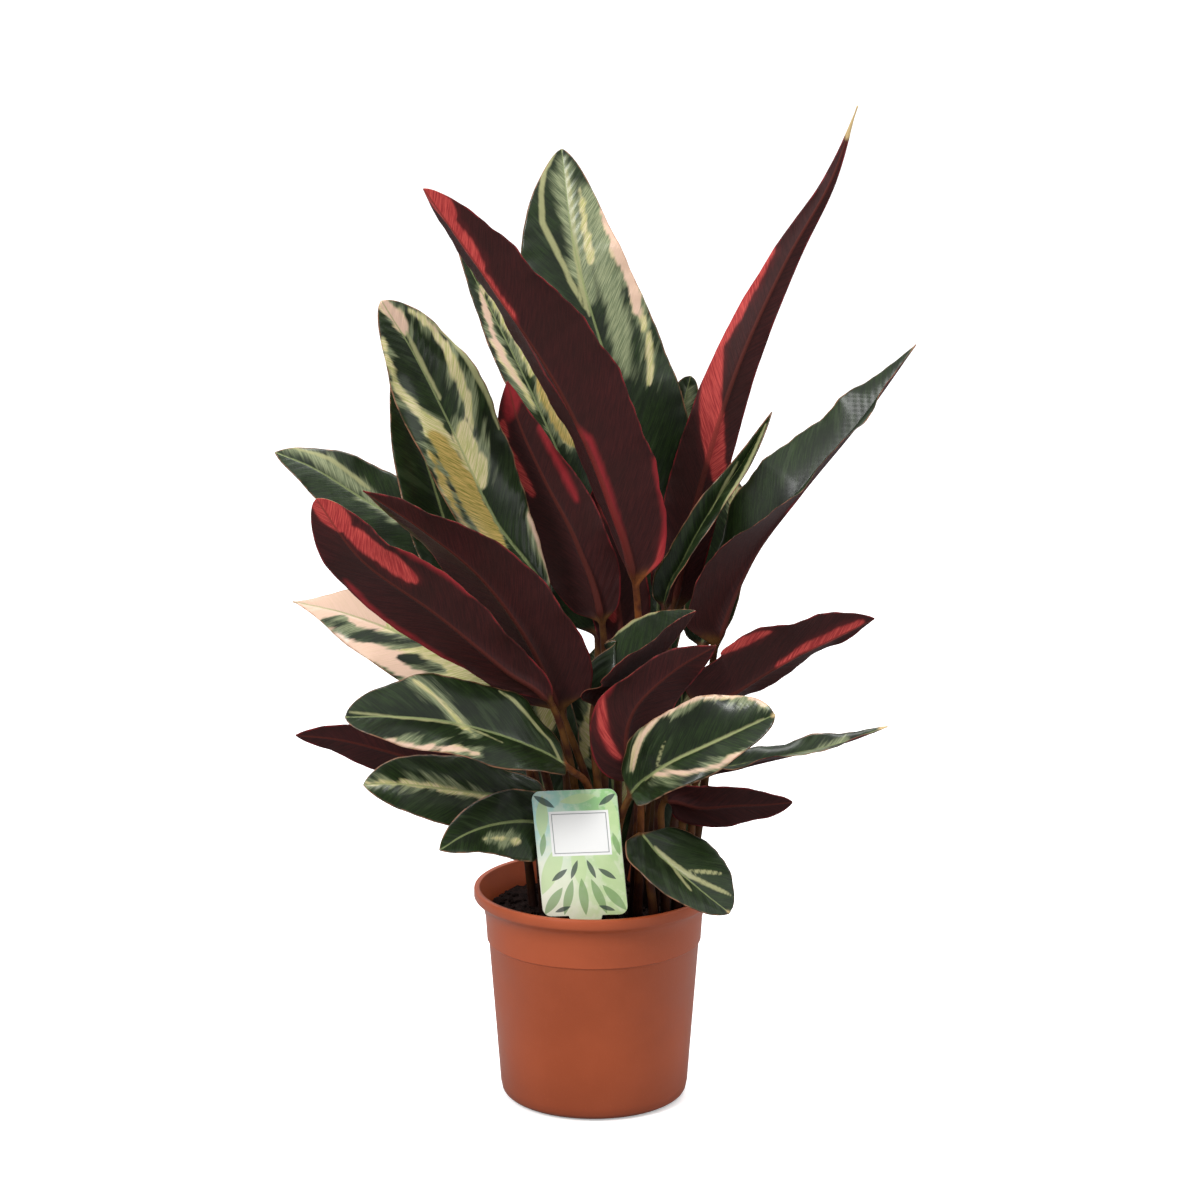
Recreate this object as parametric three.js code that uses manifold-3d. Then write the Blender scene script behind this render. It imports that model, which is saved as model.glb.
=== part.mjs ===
// Potted triostar stromanthe: a 14 cm nursery pot, its soil, a plant tag and the leaves.
// Millimetres, +Z up, the front of the plant looks along -Y. Origin: the middle of the pot's underside.
import * as THREE from "three";
import { mergeVertices } from "three/addons/utils/BufferGeometryUtils.js";
import Module from "manifold-3d";

const wasm = await Module();
wasm.setup();

// Pot
const POT_HEIGHT = 126;
const LIP_RADIUS = 70;
const FLOOR = 2.6;
const POT_SIDES = 48;
const POT_OUTSIDE = [
  [0, 0], [48.5, 0], [52, 1.2], [54, 3.6], [54.9, 8], [61.4, 93.6], [62.5, 94.6], [63.3, 108],
  [64.2, 112.5], [66.8, 117.5], [69.4, 119.6], [LIP_RADIUS, 120.6], [LIP_RADIUS, 124.6], [69, POT_HEIGHT],
];
const POT_INSIDE = [
  [67.6, POT_HEIGHT], [66.4, 124.8], [63.4, 117], [61.7, 108], [60.2, 93],
  [53.2, 7.6], [51.2, 4], [49, FLOOR], [0, FLOOR],
];
const DRAIN_RADIUS = 4;
const DRAIN_RINGS = [{ count: 4, at: 20 }, { count: 8, at: 40 }];

// Soil
const SOIL_TOP = 112;
const GAP = 0.3;
const STEM_DEPTH = 13;

// Plant tag
const TAG = { width: 50, height: 73, thick: 0.8, corner: 5, stake: 14, stakeWidth: 20 };
const TAG_PLACE = { at: [-4.5, -55, 124.6], yaw: -14, lean: 6, back: -2 };
const SLOT_WIDTH = 15;

// Leaves: thickness of the blade, radii of the stem at its foot and collar, and where the skin is cut
const BLADE = 0.9;
const STEM_FOOT = 3;
const STEM_COLLAR = 1.9;
const CURL = 0.15;
const ACROSS = [-1, -0.5, 0, 0.5, 1];
const STEM_RINGS = [0, 0.22, 0.45, 0.68, 0.88];
const BLADE_RINGS = [0, 0.05, 0.13, 0.23, 0.33, 0.43, 0.53, 0.63, 0.73, 0.83, 0.91, 0.965, 1];

// One row a leaf. path: foot, stem, collar, then the midrib to the tip.
// face: the way the upper side looks, from collar to tip. half: width of the left and right half, tip up.
// fold: degrees each half rises, at the collar and the tip.
// wave: height and count of the waves of the margin. full: where the blade is broadest and how it narrows.
const LEAVES = {
  leaf_01: {
    path: [[22, -16], [26, -20, 200], [24, -28, 307], [9, -42, 362], [-18, -56, 425], [-53, -70, 482], [-91, -85, 540]],
    face: [[0.52, 0.79, 0.34], [0.52, 0.79, 0.34]], half: [37, 37], fold: [42, 42], wave: [1.5, 2.5], full: [0.5, 0.68],
  },
  leaf_02: {
    path: [[12, 22], [34, 38, 210], [42, 48, 308], [24, 56, 378], [4, 70, 434], [-12, 86, 491], [-19, 104, 544]],
    face: [[-0.1, -1, 0.1], [0, -0.9, 0.3]], half: [47, 36], fold: [15, 15], wave: [1.5, 2.5], full: [0.45, 0.68],
  },
  leaf_03: {
    path: [[0, 10], [6, 24, 200], [10, 36, 293], [-11, 42, 350], [-36, 50, 407], [-59, 58, 453], [-79, 64, 492]],
    face: [[0.5, -0.8, 0.3], [0.5, -0.8, 0.3]], half: [20, 15], fold: [25, 25], wave: [1.5, 2.5], full: [0.5, 0.75],
  },
  leaf_04: {
    path: [[4, -14], [6, -4, 190], [5, 6, 279], [-9, 8, 326], [-28, 8, 364], [-42, 6, 396], [-49, 4, 422]],
    face: [[0.1, 0.95, 0.2], [0.1, 0.95, 0.2]], half: [20, 31], fold: [24, 24], wave: [1.5, 2.5], full: [0.5, 0.85],
  },
  leaf_05: {
    path: [[-12, -16], [-16, -12, 200], [-25, -14, 295], [-56, -20, 347], [-81, -24, 402], [-101, -26, 443], [-118, -28, 472]],
    face: [[0.53, -0.81, 0.25], [0.53, -0.81, 0.25]], half: [28, 31], fold: [15, 15], wave: [2, 2.5], full: [0.95, 0.65],
  },
  leaf_06: {
    path: [[-8, -5], [-30, -2, 200], [-60, 2, 284], [-80, 8, 324], [-93, 12, 364], [-104, 16, 398], [-114, 18, 428]],
    face: [[0.3, -0.9, 0.2], [0.3, -0.9, 0.2]], half: [24, 18], fold: [20, 20], wave: [1, 2.5], full: [0.5, 0.75],
  },
  leaf_07: {
    path: [[-20, 4], [-42, 12, 220], [-80, 16, 304], [-103, 20, 332], [-133, 24, 350], [-161, 28, 367], [-184, 32, 376]],
    face: [[0.2, -0.8, 0.5], [0.2, -0.8, 0.5]], half: [22, 24], fold: [15, 15], wave: [1, 2.5], full: [0.5, 0.75],
  },
  leaf_08: {
    path: [[-6, -26], [-9, -33, 180], [-23, -52, 246], [-50, -66, 272], [-87, -80, 306], [-126, -92, 338], [-150, -100, 374]],
    face: [[0.2, 0.9, 0.35], [0.2, 0.9, 0.35]], half: [24, 27], fold: [15, 15], wave: [1.5, 2.5], full: [0.75, 0.6],
  },
  leaf_09: {
    path: [[6, -29], [0, -32, 180], [-18, -38, 238], [-36, -48, 282], [-63, -56, 321], [-96, -62, 350], [-127, -66, 372]],
    face: [[0.2, 0.9, 0.35], [0.2, 0.7, 0.6]], half: [30, 30], fold: [15, 30], wave: [1.5, 2.5], full: [0.35, 0.9],
  },
  leaf_10: {
    path: [[-28, -6], [-36, -5, 190], [-54, -7, 246], [-88, -8, 267], [-117, -6, 280], [-145, -2, 289], [-173, 4, 294]],
    face: [[0.1, -0.75, 0.65], [0.1, -0.75, 0.65]], half: [29, 33], fold: [12, 12], wave: [1.5, 2.5], full: [0.8, 1.25],
  },
  leaf_11: {
    path: [[2, -40], [-1, -41, 186], [-14, -59, 212], [-41, -74, 231], [-77, -82, 244], [-107, -88, 249], [-137, -92, 250]],
    face: [[0.05, -0.5, 0.87], [0.05, -0.79, 0.62]], half: [26, 30], fold: [18, 18], wave: [1.5, 2.5], full: [0.5, 0.6],
  },
  leaf_12: {
    path: [[-34, 6], [-42, 6, 160], [-56, 2, 189], [-88, -4, 198], [-119, -10, 209], [-147, -14, 217], [-171, -16, 220]],
    face: [[0, 0.9, 0.3], [0, 0.9, 0.3]], half: [17, 17], fold: [15, 15], wave: [1, 2], full: [0.5, 0.75],
  },
  leaf_13: {
    path: [[-21, -22], [-21, -22, 160], [-26, -20, 185], [-53, -25, 187], [-81, -36, 193], [-109, -46, 199], [-130, -54, 201]],
    face: [[0, -0.7, 0.7], [0, -0.7, 0.7]], half: [27, 23], fold: [15, 15], wave: [1, 2], full: [0.7, 0.7],
  },
  leaf_14: {
    path: [[-16, -35], [-16, -32, 140], [-18, -32, 164], [-33, -37, 174], [-52, -52, 178], [-70, -68, 177], [-86, -82, 171]],
    face: [[-0.1, -0.9, 0.4], [-0.1, -0.8, 0.5]], half: [24, 19], fold: [8, 12], wave: [1, 2], full: [0.4, 0.75],
  },
  leaf_15: {
    path: [[14, -30], [4, -36, 180], [0, -36, 242], [18, -42, 253], [33, -46, 269], [47, -50, 286], [57, -52, 301]],
    face: [[-0.6, -0.15, 0.76], [-0.6, -0.15, 0.76]], half: [36, 34], fold: [50, 50], wave: [1, 2], full: [0.5, 0.75],
  },
  leaf_16: {
    path: [[24, -28], [26, -36, 150], [26, -44, 198], [18, -54, 223], [23, -60, 247], [44, -64, 269], [68, -68, 285]],
    face: [[-0.2, 0.9, 0.3], [-0.2, 0.9, 0.3]], half: [25, 21], fold: [15, 15], wave: [2, 2], full: [0.5, 0.85],
  },
  leaf_17: {
    path: [[8, -42], [12, -44, 160], [20, -62, 196], [36, -84, 218], [56, -96, 232], [79, -104, 245], [99, -110, 256]],
    face: [[-0.26, -0.8, 0.54], [-0.26, -0.8, 0.54]], half: [29, 20], fold: [20, 20], wave: [1.5, 2], full: [0.45, 0.5],
  },
  leaf_18: {
    path: [[46, -16], [52, -20, 180], [61, -20, 234], [83, -18, 248], [109, -12, 262], [136, -6, 274], [161, 0, 285]],
    face: [[-0.29, 0.77, 0.58], [-0.29, 0.77, 0.58]], half: [16, 33], fold: [20, 20], wave: [1.5, 2], full: [0.35, 0.75],
  },
  leaf_19: {
    path: [[54, -12], [56, -16, 160], [60, -16, 195], [84, -12, 201], [113, -8, 206], [145, -2, 212], [170, 4, 220]],
    face: [[-0.1, -0.2, 1], [-0.1, -0.2, 1]], half: [12, 11], fold: [32, 32], wave: [1, 2], full: [0.5, 0.75],
  },
  leaf_20: {
    path: [[42, -26], [40, -27, 150], [40, -28, 184], [61, -32, 182], [80, -36, 184], [97, -38, 185], [113, -40, 187]],
    face: [[0, 0.9, 0.4], [0, 0.9, 0.4]], half: [16, 15], fold: [10, 10], wave: [1, 2], full: [0.35, 0.65],
  },
  leaf_21: {
    path: [[36, -38], [32, -42, 140], [26, -46, 169], [37, -56, 160], [51, -68, 151], [64, -76, 142], [76, -82, 134]],
    face: [[0.5, -0.5, 0.7], [0.5, -0.5, 0.7]], half: [34, 28], fold: [15, 15], wave: [1, 2], full: [0.4, 0.6],
  },
  leaf_22: {
    path: [
      [30, 2], [38, 12, 200], [45, 20, 280], [61, 26, 355], [82, 32, 424], [109, 38, 484], [135, 42, 531], [150, 44, 574],
    ],
    face: [[0.1, 0.95, 0.1], [0.1, 0.95, 0.1]], half: [16, 22], fold: [30, 30], wave: [1, 3], full: [0.3, 1.1],
  },
  leaf_23: {
    path: [[26, 18], [34, 40, 170], [38, 58, 240], [38, 68, 300], [43, 76, 348], [50, 82, 384], [57, 88, 412]],
    face: [[0, -1, 0.1], [0, -1, 0.1]], half: [21, 19], fold: [20, 20], wave: [1, 2], full: [0.4, 0.5],
  },
  leaf_24: {
    path: [[34, -20], [38, -18, 200], [40, -16, 292], [52, -18, 325], [68, -18, 355], [85, -18, 381], [100, -18, 408]],
    face: [[-0.6, -0.5, 0.4], [0, -1, 0.1]], half: [12, 15], fold: [50, 55], wave: [1, 3], full: [0.3, 0.75],
  },
  leaf_25: {
    path: [[52, 4], [64, -6, 190], [69, -10, 268], [88, -4, 318], [118, 4, 357], [153, 14, 398], [184, 24, 440]],
    face: [[-0.84, 0.5, 0.2], [-0.7, -0.34, 0.61], [-0.7, -0.37, 0.6]], half: [42, 38], fold: [38, 38], wave: [1.5, 3],
    full: [0.35, 1],
  },
  leaf_26: {
    path: [[14, 2], [14, 8, 190], [16, 13, 255], [14, 18, 290], [9, 21, 318], [4, 23, 340], [1, 24, 358]],
    face: [[0, 1, 0], [0, 1, 0]], half: [20, 18], fold: [20, 20], wave: [1, 2], full: [0.5, 0.75],
  },
  leaf_27: {
    path: [[2, 26], [2, 48, 200], [2, 66, 258], [-2, 82, 304], [-7, 94, 350], [-11, 100, 397]],
    face: [[0, -1, 0.1], [0, -1, 0.1]], half: [30, 30], fold: [15, 15], wave: [1.5, 2], full: [0.5, 0.7],
  },
  leaf_28: {
    path: [[38, 20], [54, 48, 190], [64, 72, 250], [74, 88, 288], [82, 102, 320], [86, 114, 344]],
    face: [[-0.5, -0.8, 0.3], [-0.4, -0.5, 0.8]], half: [22, 22], fold: [20, 20], wave: [1.5, 2], full: [0.5, 0.7],
  },
  leaf_29: {
    path: [[-12, 14], [-19, 34, 130], [-25, 46, 150], [-34, 57, 192], [-42, 67, 238], [-52, 76, 286]],
    face: [[0.2, -0.9, 0.2], [0.2, -0.8, 0.4]], half: [27, 27], fold: [20, 20], wave: [1.5, 2], full: [0.5, 0.7],
  },
  leaf_30: {
    path: [[16, 36], [16, 44, 118], [15, 51, 128], [12, 60, 162], [8, 69, 205], [5, 77, 252]],
    face: [[0, -1, 0.1], [0, -1, 0.1]], half: [32, 32], fold: [12, 12], wave: [1.5, 2], full: [0.3, 0.6],
  },
  leaf_31: {
    path: [[47, 24], [48, 33, 118], [48, 40, 129], [49, 52, 160], [51, 62, 198], [53, 70, 238]],
    face: [[0, -1, 0.1], [0, -1, 0.1]], half: [20, 14], fold: [15, 15], wave: [1.5, 2], full: [0.4, 0.6],
  },
};

function closed(positions, triangles) {
  const geometry = new THREE.BufferGeometry();
  geometry.setAttribute("position", new THREE.Float32BufferAttribute(positions, 3));
  geometry.setIndex(triangles);
  return geometry;
}

function solid(geometry) {
  return new wasm.Manifold(new wasm.Mesh({
    numProp: 3,
    vertProperties: new Float32Array(geometry.attributes.position.array),
    triVerts: new Uint32Array(geometry.index.array),
  }));
}

function fromSolid(manifold) {
  const mesh = manifold.getMesh();
  return closed(Array.from(mesh.vertProperties), Array.from(mesh.triVerts));
}

// A solid turned about Z from [radius, height] points that start and end on the axis, listed from below.
function turned(profile, sides) {
  const positions = [];
  const triangles = [];
  const rings = [];
  for (const [radius, height] of profile) {
    const first = positions.length / 3;
    const count = radius === 0 ? 1 : sides;
    for (let i = 0; i < count; i += 1) {
      const angle = (2 * Math.PI * i) / sides;
      positions.push(radius * Math.cos(angle), radius * Math.sin(angle), height);
    }
    rings.push({ first, count });
  }
  const vertex = (ring, i) => ring.first + (ring.count === 1 ? 0 : i % sides);
  for (let r = 0; r + 1 < rings.length; r += 1) {
    for (let i = 0; i < sides; i += 1) {
      const [a, b] = [vertex(rings[r], i), vertex(rings[r], i + 1)];
      const [c, d] = [vertex(rings[r + 1], i + 1), vertex(rings[r + 1], i)];
      if (rings[r].count > 1) triangles.push(a, b, d);
      if (rings[r + 1].count > 1) triangles.push(b, c, d);
    }
  }
  return closed(positions, triangles);
}

// Points of the stem and midrib in space, the foot standing in the soil.
function leafPath(leaf) {
  const [foot, ...rest] = leaf.path;
  const points = [[foot[0], foot[1], SOIL_TOP - STEM_DEPTH], ...rest];
  return points.map((p) => new THREE.Vector3(...p));
}

function faceAt(leaf, u) {
  const faces = leaf.face.map((f) => new THREE.Vector3(...f));
  const place = Math.min(u * (faces.length - 1), faces.length - 1.0001);
  const first = Math.floor(place);
  return faces[first].lerp(faces[first + 1], place - first);
}

// Half width of the blade at u, 1 at its broadest.
function fullness(leaf, u) {
  const [rise, fall] = leaf.full;
  const broadest = rise / (rise + fall);
  return (u / broadest) ** rise * ((1 - u) / (1 - broadest)) ** fall;
}

// Where the blade's middle surface lies off the midrib, and how steeply it runs there.
function section(leaf, u, v) {
  const width = Math.max(leaf.half[v < 0 ? 0 : 1] * fullness(leaf, u), 0.5);
  const fold = THREE.MathUtils.degToRad(leaf.fold[0] + (leaf.fold[1] - leaf.fold[0]) * u);
  const [height, count] = leaf.wave;
  const side = Math.sign(v);
  const swell = height * Math.min(1, 5 * u) * Math.min(1, 5 * (1 - u));
  const wave = swell * Math.sin(2 * Math.PI * count * u + 1.3 + 1.9 * side);
  const reach = Math.abs(v);
  return {
    across: v * width * Math.cos(fold),
    up: width * (Math.sin(fold) * reach - CURL * reach * reach) + wave * reach * reach,
    slope: side * (width * (Math.sin(fold) - 2 * CURL * reach) + 2 * wave * reach) / (width * Math.cos(fold)),
  };
}

// The leaf's skin: rings of points from the foot to the tip, upper side first, closed at both ends.
function leafSkin(leaf) {
  const curve = new THREE.CatmullRomCurve3(leafPath(leaf), false, "catmullrom", 0.5);
  const collar = collarShare(curve, leaf);
  const frames = [];
  for (const u of BLADE_RINGS) {
    const along = collar + (1 - collar) * u;
    const tangent = curve.getTangentAt(along);
    const normal = faceAt(leaf, u).projectOnPlane(tangent).normalize();
    frames.push({ u, centre: curve.getPointAt(along), tangent, normal, radius: STEM_COLLAR });
  }
  for (const s of [...STEM_RINGS].reverse()) {
    const tangent = curve.getTangentAt(s * collar);
    const normal = frames[0].normal.clone().projectOnPlane(tangent).normalize();
    const radius = STEM_FOOT + (STEM_COLLAR - STEM_FOOT) * s;
    frames.unshift({ u: -1, centre: curve.getPointAt(s * collar), tangent, normal, radius });
  }
  const positions = [];
  const last = ACROSS.length - 1;
  for (const { u, centre, tangent, normal, radius } of frames) {
    const right = tangent.clone().cross(normal);
    const bladeShare = THREE.MathUtils.smoothstep(u, 0, 0.06);
    const ridge = u < 0 ? 0 : 2 * radius * (1 - u) ** 3;
    for (const under of [false, true]) {
      for (let i = 0; i <= last; i += 1) {
        const v = ACROSS[under ? last - i : i];
        const angle = (v * Math.PI * last) / (last + 1) / 2;
        const round = [radius * Math.sin(angle), radius * Math.cos(angle) * (under ? -1 : 1)];
        const flat = [0, 0];
        if (bladeShare > 0) {
          const { across, up, slope } = section(leaf, u, v);
          const tilt = Math.hypot(1, slope);
          const off = under ? -BLADE / 2 - (v === 0 ? ridge : 0) : BLADE / 2;
          flat[0] = across - (off * slope) / tilt;
          flat[1] = up + off / tilt;
        }
        const x = round[0] + (flat[0] - round[0]) * bladeShare;
        const y = round[1] + (flat[1] - round[1]) * bladeShare;
        const point = centre.clone().addScaledVector(right, x).addScaledVector(normal, y);
        positions.push(point.x, point.y, point.z);
      }
    }
  }
  return closed(positions, skinTriangles(frames.length, 2 * ACROSS.length));
}

// The share of the path's length that is stem: up to its third point, the collar.
function collarShare(curve, leaf) {
  const lengths = curve.getLengths(200);
  const place = 2 / (leaf.path.length - 1);
  return lengths[Math.round(place * 200)] / lengths[200];
}

// Both faces of the blade are cut along the same diagonals.
function skinTriangles(rings, size) {
  const triangles = [];
  const half = size / 2;
  for (let r = 0; r + 1 < rings; r += 1) {
    for (let i = 0; i < size; i += 1) {
      const next = (i + 1) % size;
      const [a, b] = [r * size + i, r * size + next];
      const [c, d] = [a + size, b + size];
      if (i < half) triangles.push(a, b, d, a, d, c);
      else triangles.push(a, b, c, b, d, c);
    }
  }
  for (let i = 0; i + 1 < half; i += 1) {
    const [upper, lower] = [i, size - 1 - i];
    const end = (rings - 1) * size;
    triangles.push(upper, lower, upper + 1, upper + 1, lower, lower - 1);
    triangles.push(end + upper, end + upper + 1, end + lower, end + upper + 1, end + lower - 1, end + lower);
  }
  return triangles;
}

const MATERIALS = {
  terracotta: new THREE.MeshStandardMaterial({ color: 0xa5583a, roughness: 0.5 }),
  soil: new THREE.MeshStandardMaterial({ color: 0x241714, roughness: 1 }),
  card: new THREE.MeshStandardMaterial({ color: 0xb5dcc0, roughness: 0.4 }),
  leaf: new THREE.MeshStandardMaterial({ color: 0x3a5a2c, roughness: 0.35 }),
};

function add(root, name, geometry, material) {
  geometry.computeVertexNormals();
  const mesh = new THREE.Mesh(geometry, material);
  mesh.name = name;
  root.add(mesh);
}

const root = new THREE.Group();
root.name = "potted_triostar_stromanthe";

let pot = solid(turned([...POT_OUTSIDE, ...POT_INSIDE], POT_SIDES));
for (const { count, at } of DRAIN_RINGS) {
  for (let i = 0; i < count; i += 1) {
    const angle = (2 * Math.PI * (i + 0.5)) / count;
    const drill = wasm.Manifold.cylinder(4 * FLOOR, DRAIN_RADIUS, DRAIN_RADIUS, 12, true);
    pot = pot.subtract(drill.translate([at * Math.cos(angle), at * Math.sin(angle), 0]));
  }
}
add(root, "pot", fromSolid(pot), MATERIALS.terracotta);

let soil = solid(turned([
  [0, FLOOR + GAP], [48.4, FLOOR + GAP], [50.6, 4.6], [52.7, 8], [59.7, 93], [61.2, 108], [61.4, SOIL_TOP - 2],
  [60.2, SOIL_TOP], [0, SOIL_TOP],
], POT_SIDES));

// The plain hole a stem stands in, a little wider at its mouth.
function stemHole(leaf) {
  const points = leafPath(leaf);
  const curve = new THREE.CatmullRomCurve3(points, false, "catmullrom", 0.5);
  const foot = points[0];
  const lean = curve.getTangentAt(0);
  const sides = 8;
  const radius = (STEM_FOOT + GAP) / Math.cos(Math.PI / sides);
  const hole = wasm.Manifold.cylinder(STEM_DEPTH + 8, radius, radius + 1.3, sides);
  const turn = new THREE.Quaternion().setFromUnitVectors(new THREE.Vector3(0, 0, 1), lean);
  const place = new THREE.Matrix4().compose(foot.clone().addScaledVector(lean, -1), turn, new THREE.Vector3(1, 1, 1));
  return hole.transform(place.toArray());
}

for (const leaf of Object.values(LEAVES)) soil = soil.subtract(stemHole(leaf));

for (const [name, leaf] of Object.entries(LEAVES)) add(root, name, leafSkin(leaf), MATERIALS.leaf);

function tagOutline() {
  const shape = new THREE.Shape();
  const { width, height, corner, stake, stakeWidth } = TAG;
  const half = width / 2;
  shape.moveTo(-stakeWidth / 2, 0);
  shape.lineTo(-4, -stake);
  shape.lineTo(4, -stake);
  shape.lineTo(stakeWidth / 2, 0);
  shape.lineTo(half - corner, 0);
  shape.absarc(half - corner, corner, corner, -Math.PI / 2, 0);
  shape.absarc(half - corner, height - corner, corner, 0, Math.PI / 2);
  shape.absarc(corner - half, height - corner, corner, Math.PI / 2, Math.PI);
  shape.absarc(corner - half, corner, corner, Math.PI, 1.5 * Math.PI);
  shape.closePath();
  return shape;
}

function tagPlace() {
  const { at, yaw, lean, back } = TAG_PLACE;
  const deg = THREE.MathUtils.degToRad;
  return new THREE.Matrix4().makeTranslation(...at)
    .multiply(new THREE.Matrix4().makeRotationZ(deg(yaw)))
    .multiply(new THREE.Matrix4().makeRotationX(deg(90 + back)))
    .multiply(new THREE.Matrix4().makeRotationZ(deg(lean)));
}

const flatTag = new THREE.ExtrudeGeometry(tagOutline(), { depth: TAG.thick, bevelEnabled: false, curveSegments: 5 });
flatTag.deleteAttribute("normal");
flatTag.deleteAttribute("uv");
const tag = mergeVertices(flatTag).applyMatrix4(tagPlace());
const slot = new THREE.BoxGeometry(SLOT_WIDTH, 2 * TAG.stake, TAG.thick + 1);
slot.deleteAttribute("normal");
slot.deleteAttribute("uv");
slot.translate(0, -TAG.stake / 2, TAG.thick / 2);
const slotSolid = solid(mergeVertices(slot).applyMatrix4(tagPlace()));
soil = soil.subtract(slotSolid);
add(root, "soil", fromSolid(soil), MATERIALS.soil);
add(root, "tag", tag, MATERIALS.card);

export default root;
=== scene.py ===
# Looks of a potted triostar stromanthe: its leaves, nursery pot, soil and plant tag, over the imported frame.
# Lengths in this script are millimetres until a mesh is made; meshes, lights and camera are in metres.
import math
import random

import bmesh
import bpy
import numpy as np
from mathutils import Matrix, Vector, noise


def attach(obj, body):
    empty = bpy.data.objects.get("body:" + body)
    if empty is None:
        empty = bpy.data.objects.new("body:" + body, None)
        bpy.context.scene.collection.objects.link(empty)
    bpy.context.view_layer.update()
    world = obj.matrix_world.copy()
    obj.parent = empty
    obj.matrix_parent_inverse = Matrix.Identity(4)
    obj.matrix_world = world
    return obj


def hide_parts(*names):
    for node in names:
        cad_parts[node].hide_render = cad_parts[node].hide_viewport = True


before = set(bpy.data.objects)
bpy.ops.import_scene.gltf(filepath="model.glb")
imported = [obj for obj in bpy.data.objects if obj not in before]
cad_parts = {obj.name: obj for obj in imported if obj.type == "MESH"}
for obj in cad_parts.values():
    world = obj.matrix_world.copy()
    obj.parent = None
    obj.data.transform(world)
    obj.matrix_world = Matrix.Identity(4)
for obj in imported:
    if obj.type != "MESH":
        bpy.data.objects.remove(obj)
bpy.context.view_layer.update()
MM = 0.001

# Camera, as the photograph was taken
CAMERA_AT = (3.5, -2000, 736)
CAMERA_PITCH = 12.41
SENSOR = 36
LENS = 107.2
PHOTO_SIZE = 1200

# Pot
POT_HEIGHT = 126
LIP_RADIUS = 70
POT_FLOOR = 2.6
POT_SIDES = 160
POT_OUTSIDE = [
    (0, 0), (48.5, 0), (50.6, 0.4), (52, 1.2), (53.2, 2.2), (54, 3.6), (54.9, 8), (61.4, 93.6), (61.9, 94.4),
    (62.5, 94.9), (63.3, 108), (64.2, 112.5), (65.4, 115.4), (66.8, 117.5), (68.4, 118.8), (69.4, 119.6),
    (LIP_RADIUS, 120.6), (LIP_RADIUS, 124.6), (69.7, 125.5), (69, POT_HEIGHT),
]
POT_INSIDE = [
    (67.6, POT_HEIGHT), (66.8, 125.6), (66.4, 124.8), (65.2, 120.4), (63.4, 117), (61.7, 108), (60.2, 93),
    (53.2, 7.6), (51.2, 4), (49, POT_FLOOR), (0, POT_FLOOR),
]
DRAIN_RADIUS = 4
DRAIN_RINGS = [(4, 20), (8, 40)]

# Soil
SOIL_TOP = 112
SOIL_RADIUS = 61
STEM_DEPTH = 13
SOIL_LUMPS = [(2.6, 13), (1.3, 4.5), (0.7, 1.8)]
SOIL_CRUMBS = 420
SOIL_GRID = 110

# Plant tag
TAG_WIDTH = 50
TAG_HEIGHT = 73
TAG_THICK = 0.8
TAG_CORNER = 5
STAKE = 14
STAKE_WIDTH = 20
STAKE_TIP = 4
TAG_AT = (-4.5, -55, 124.6)
TAG_YAW = -14
TAG_LEAN = 6
TAG_BACK = -2

# Leaves
BLADE = 0.7
STEM_FOOT = 3
STEM_COLLAR = 1.9
CURL = 0.15
STEM_RINGS = 26
RING_STEP = 2.0
ACROSS_STEP = 1.5
VEIN_STEP = 6.5
RIPPLE_STEP = 47
RIPPLE_HEIGHT = 0.7
RIPPLE_WIDTH = 0.008
VEIN_HEIGHT = 0.22

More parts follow.
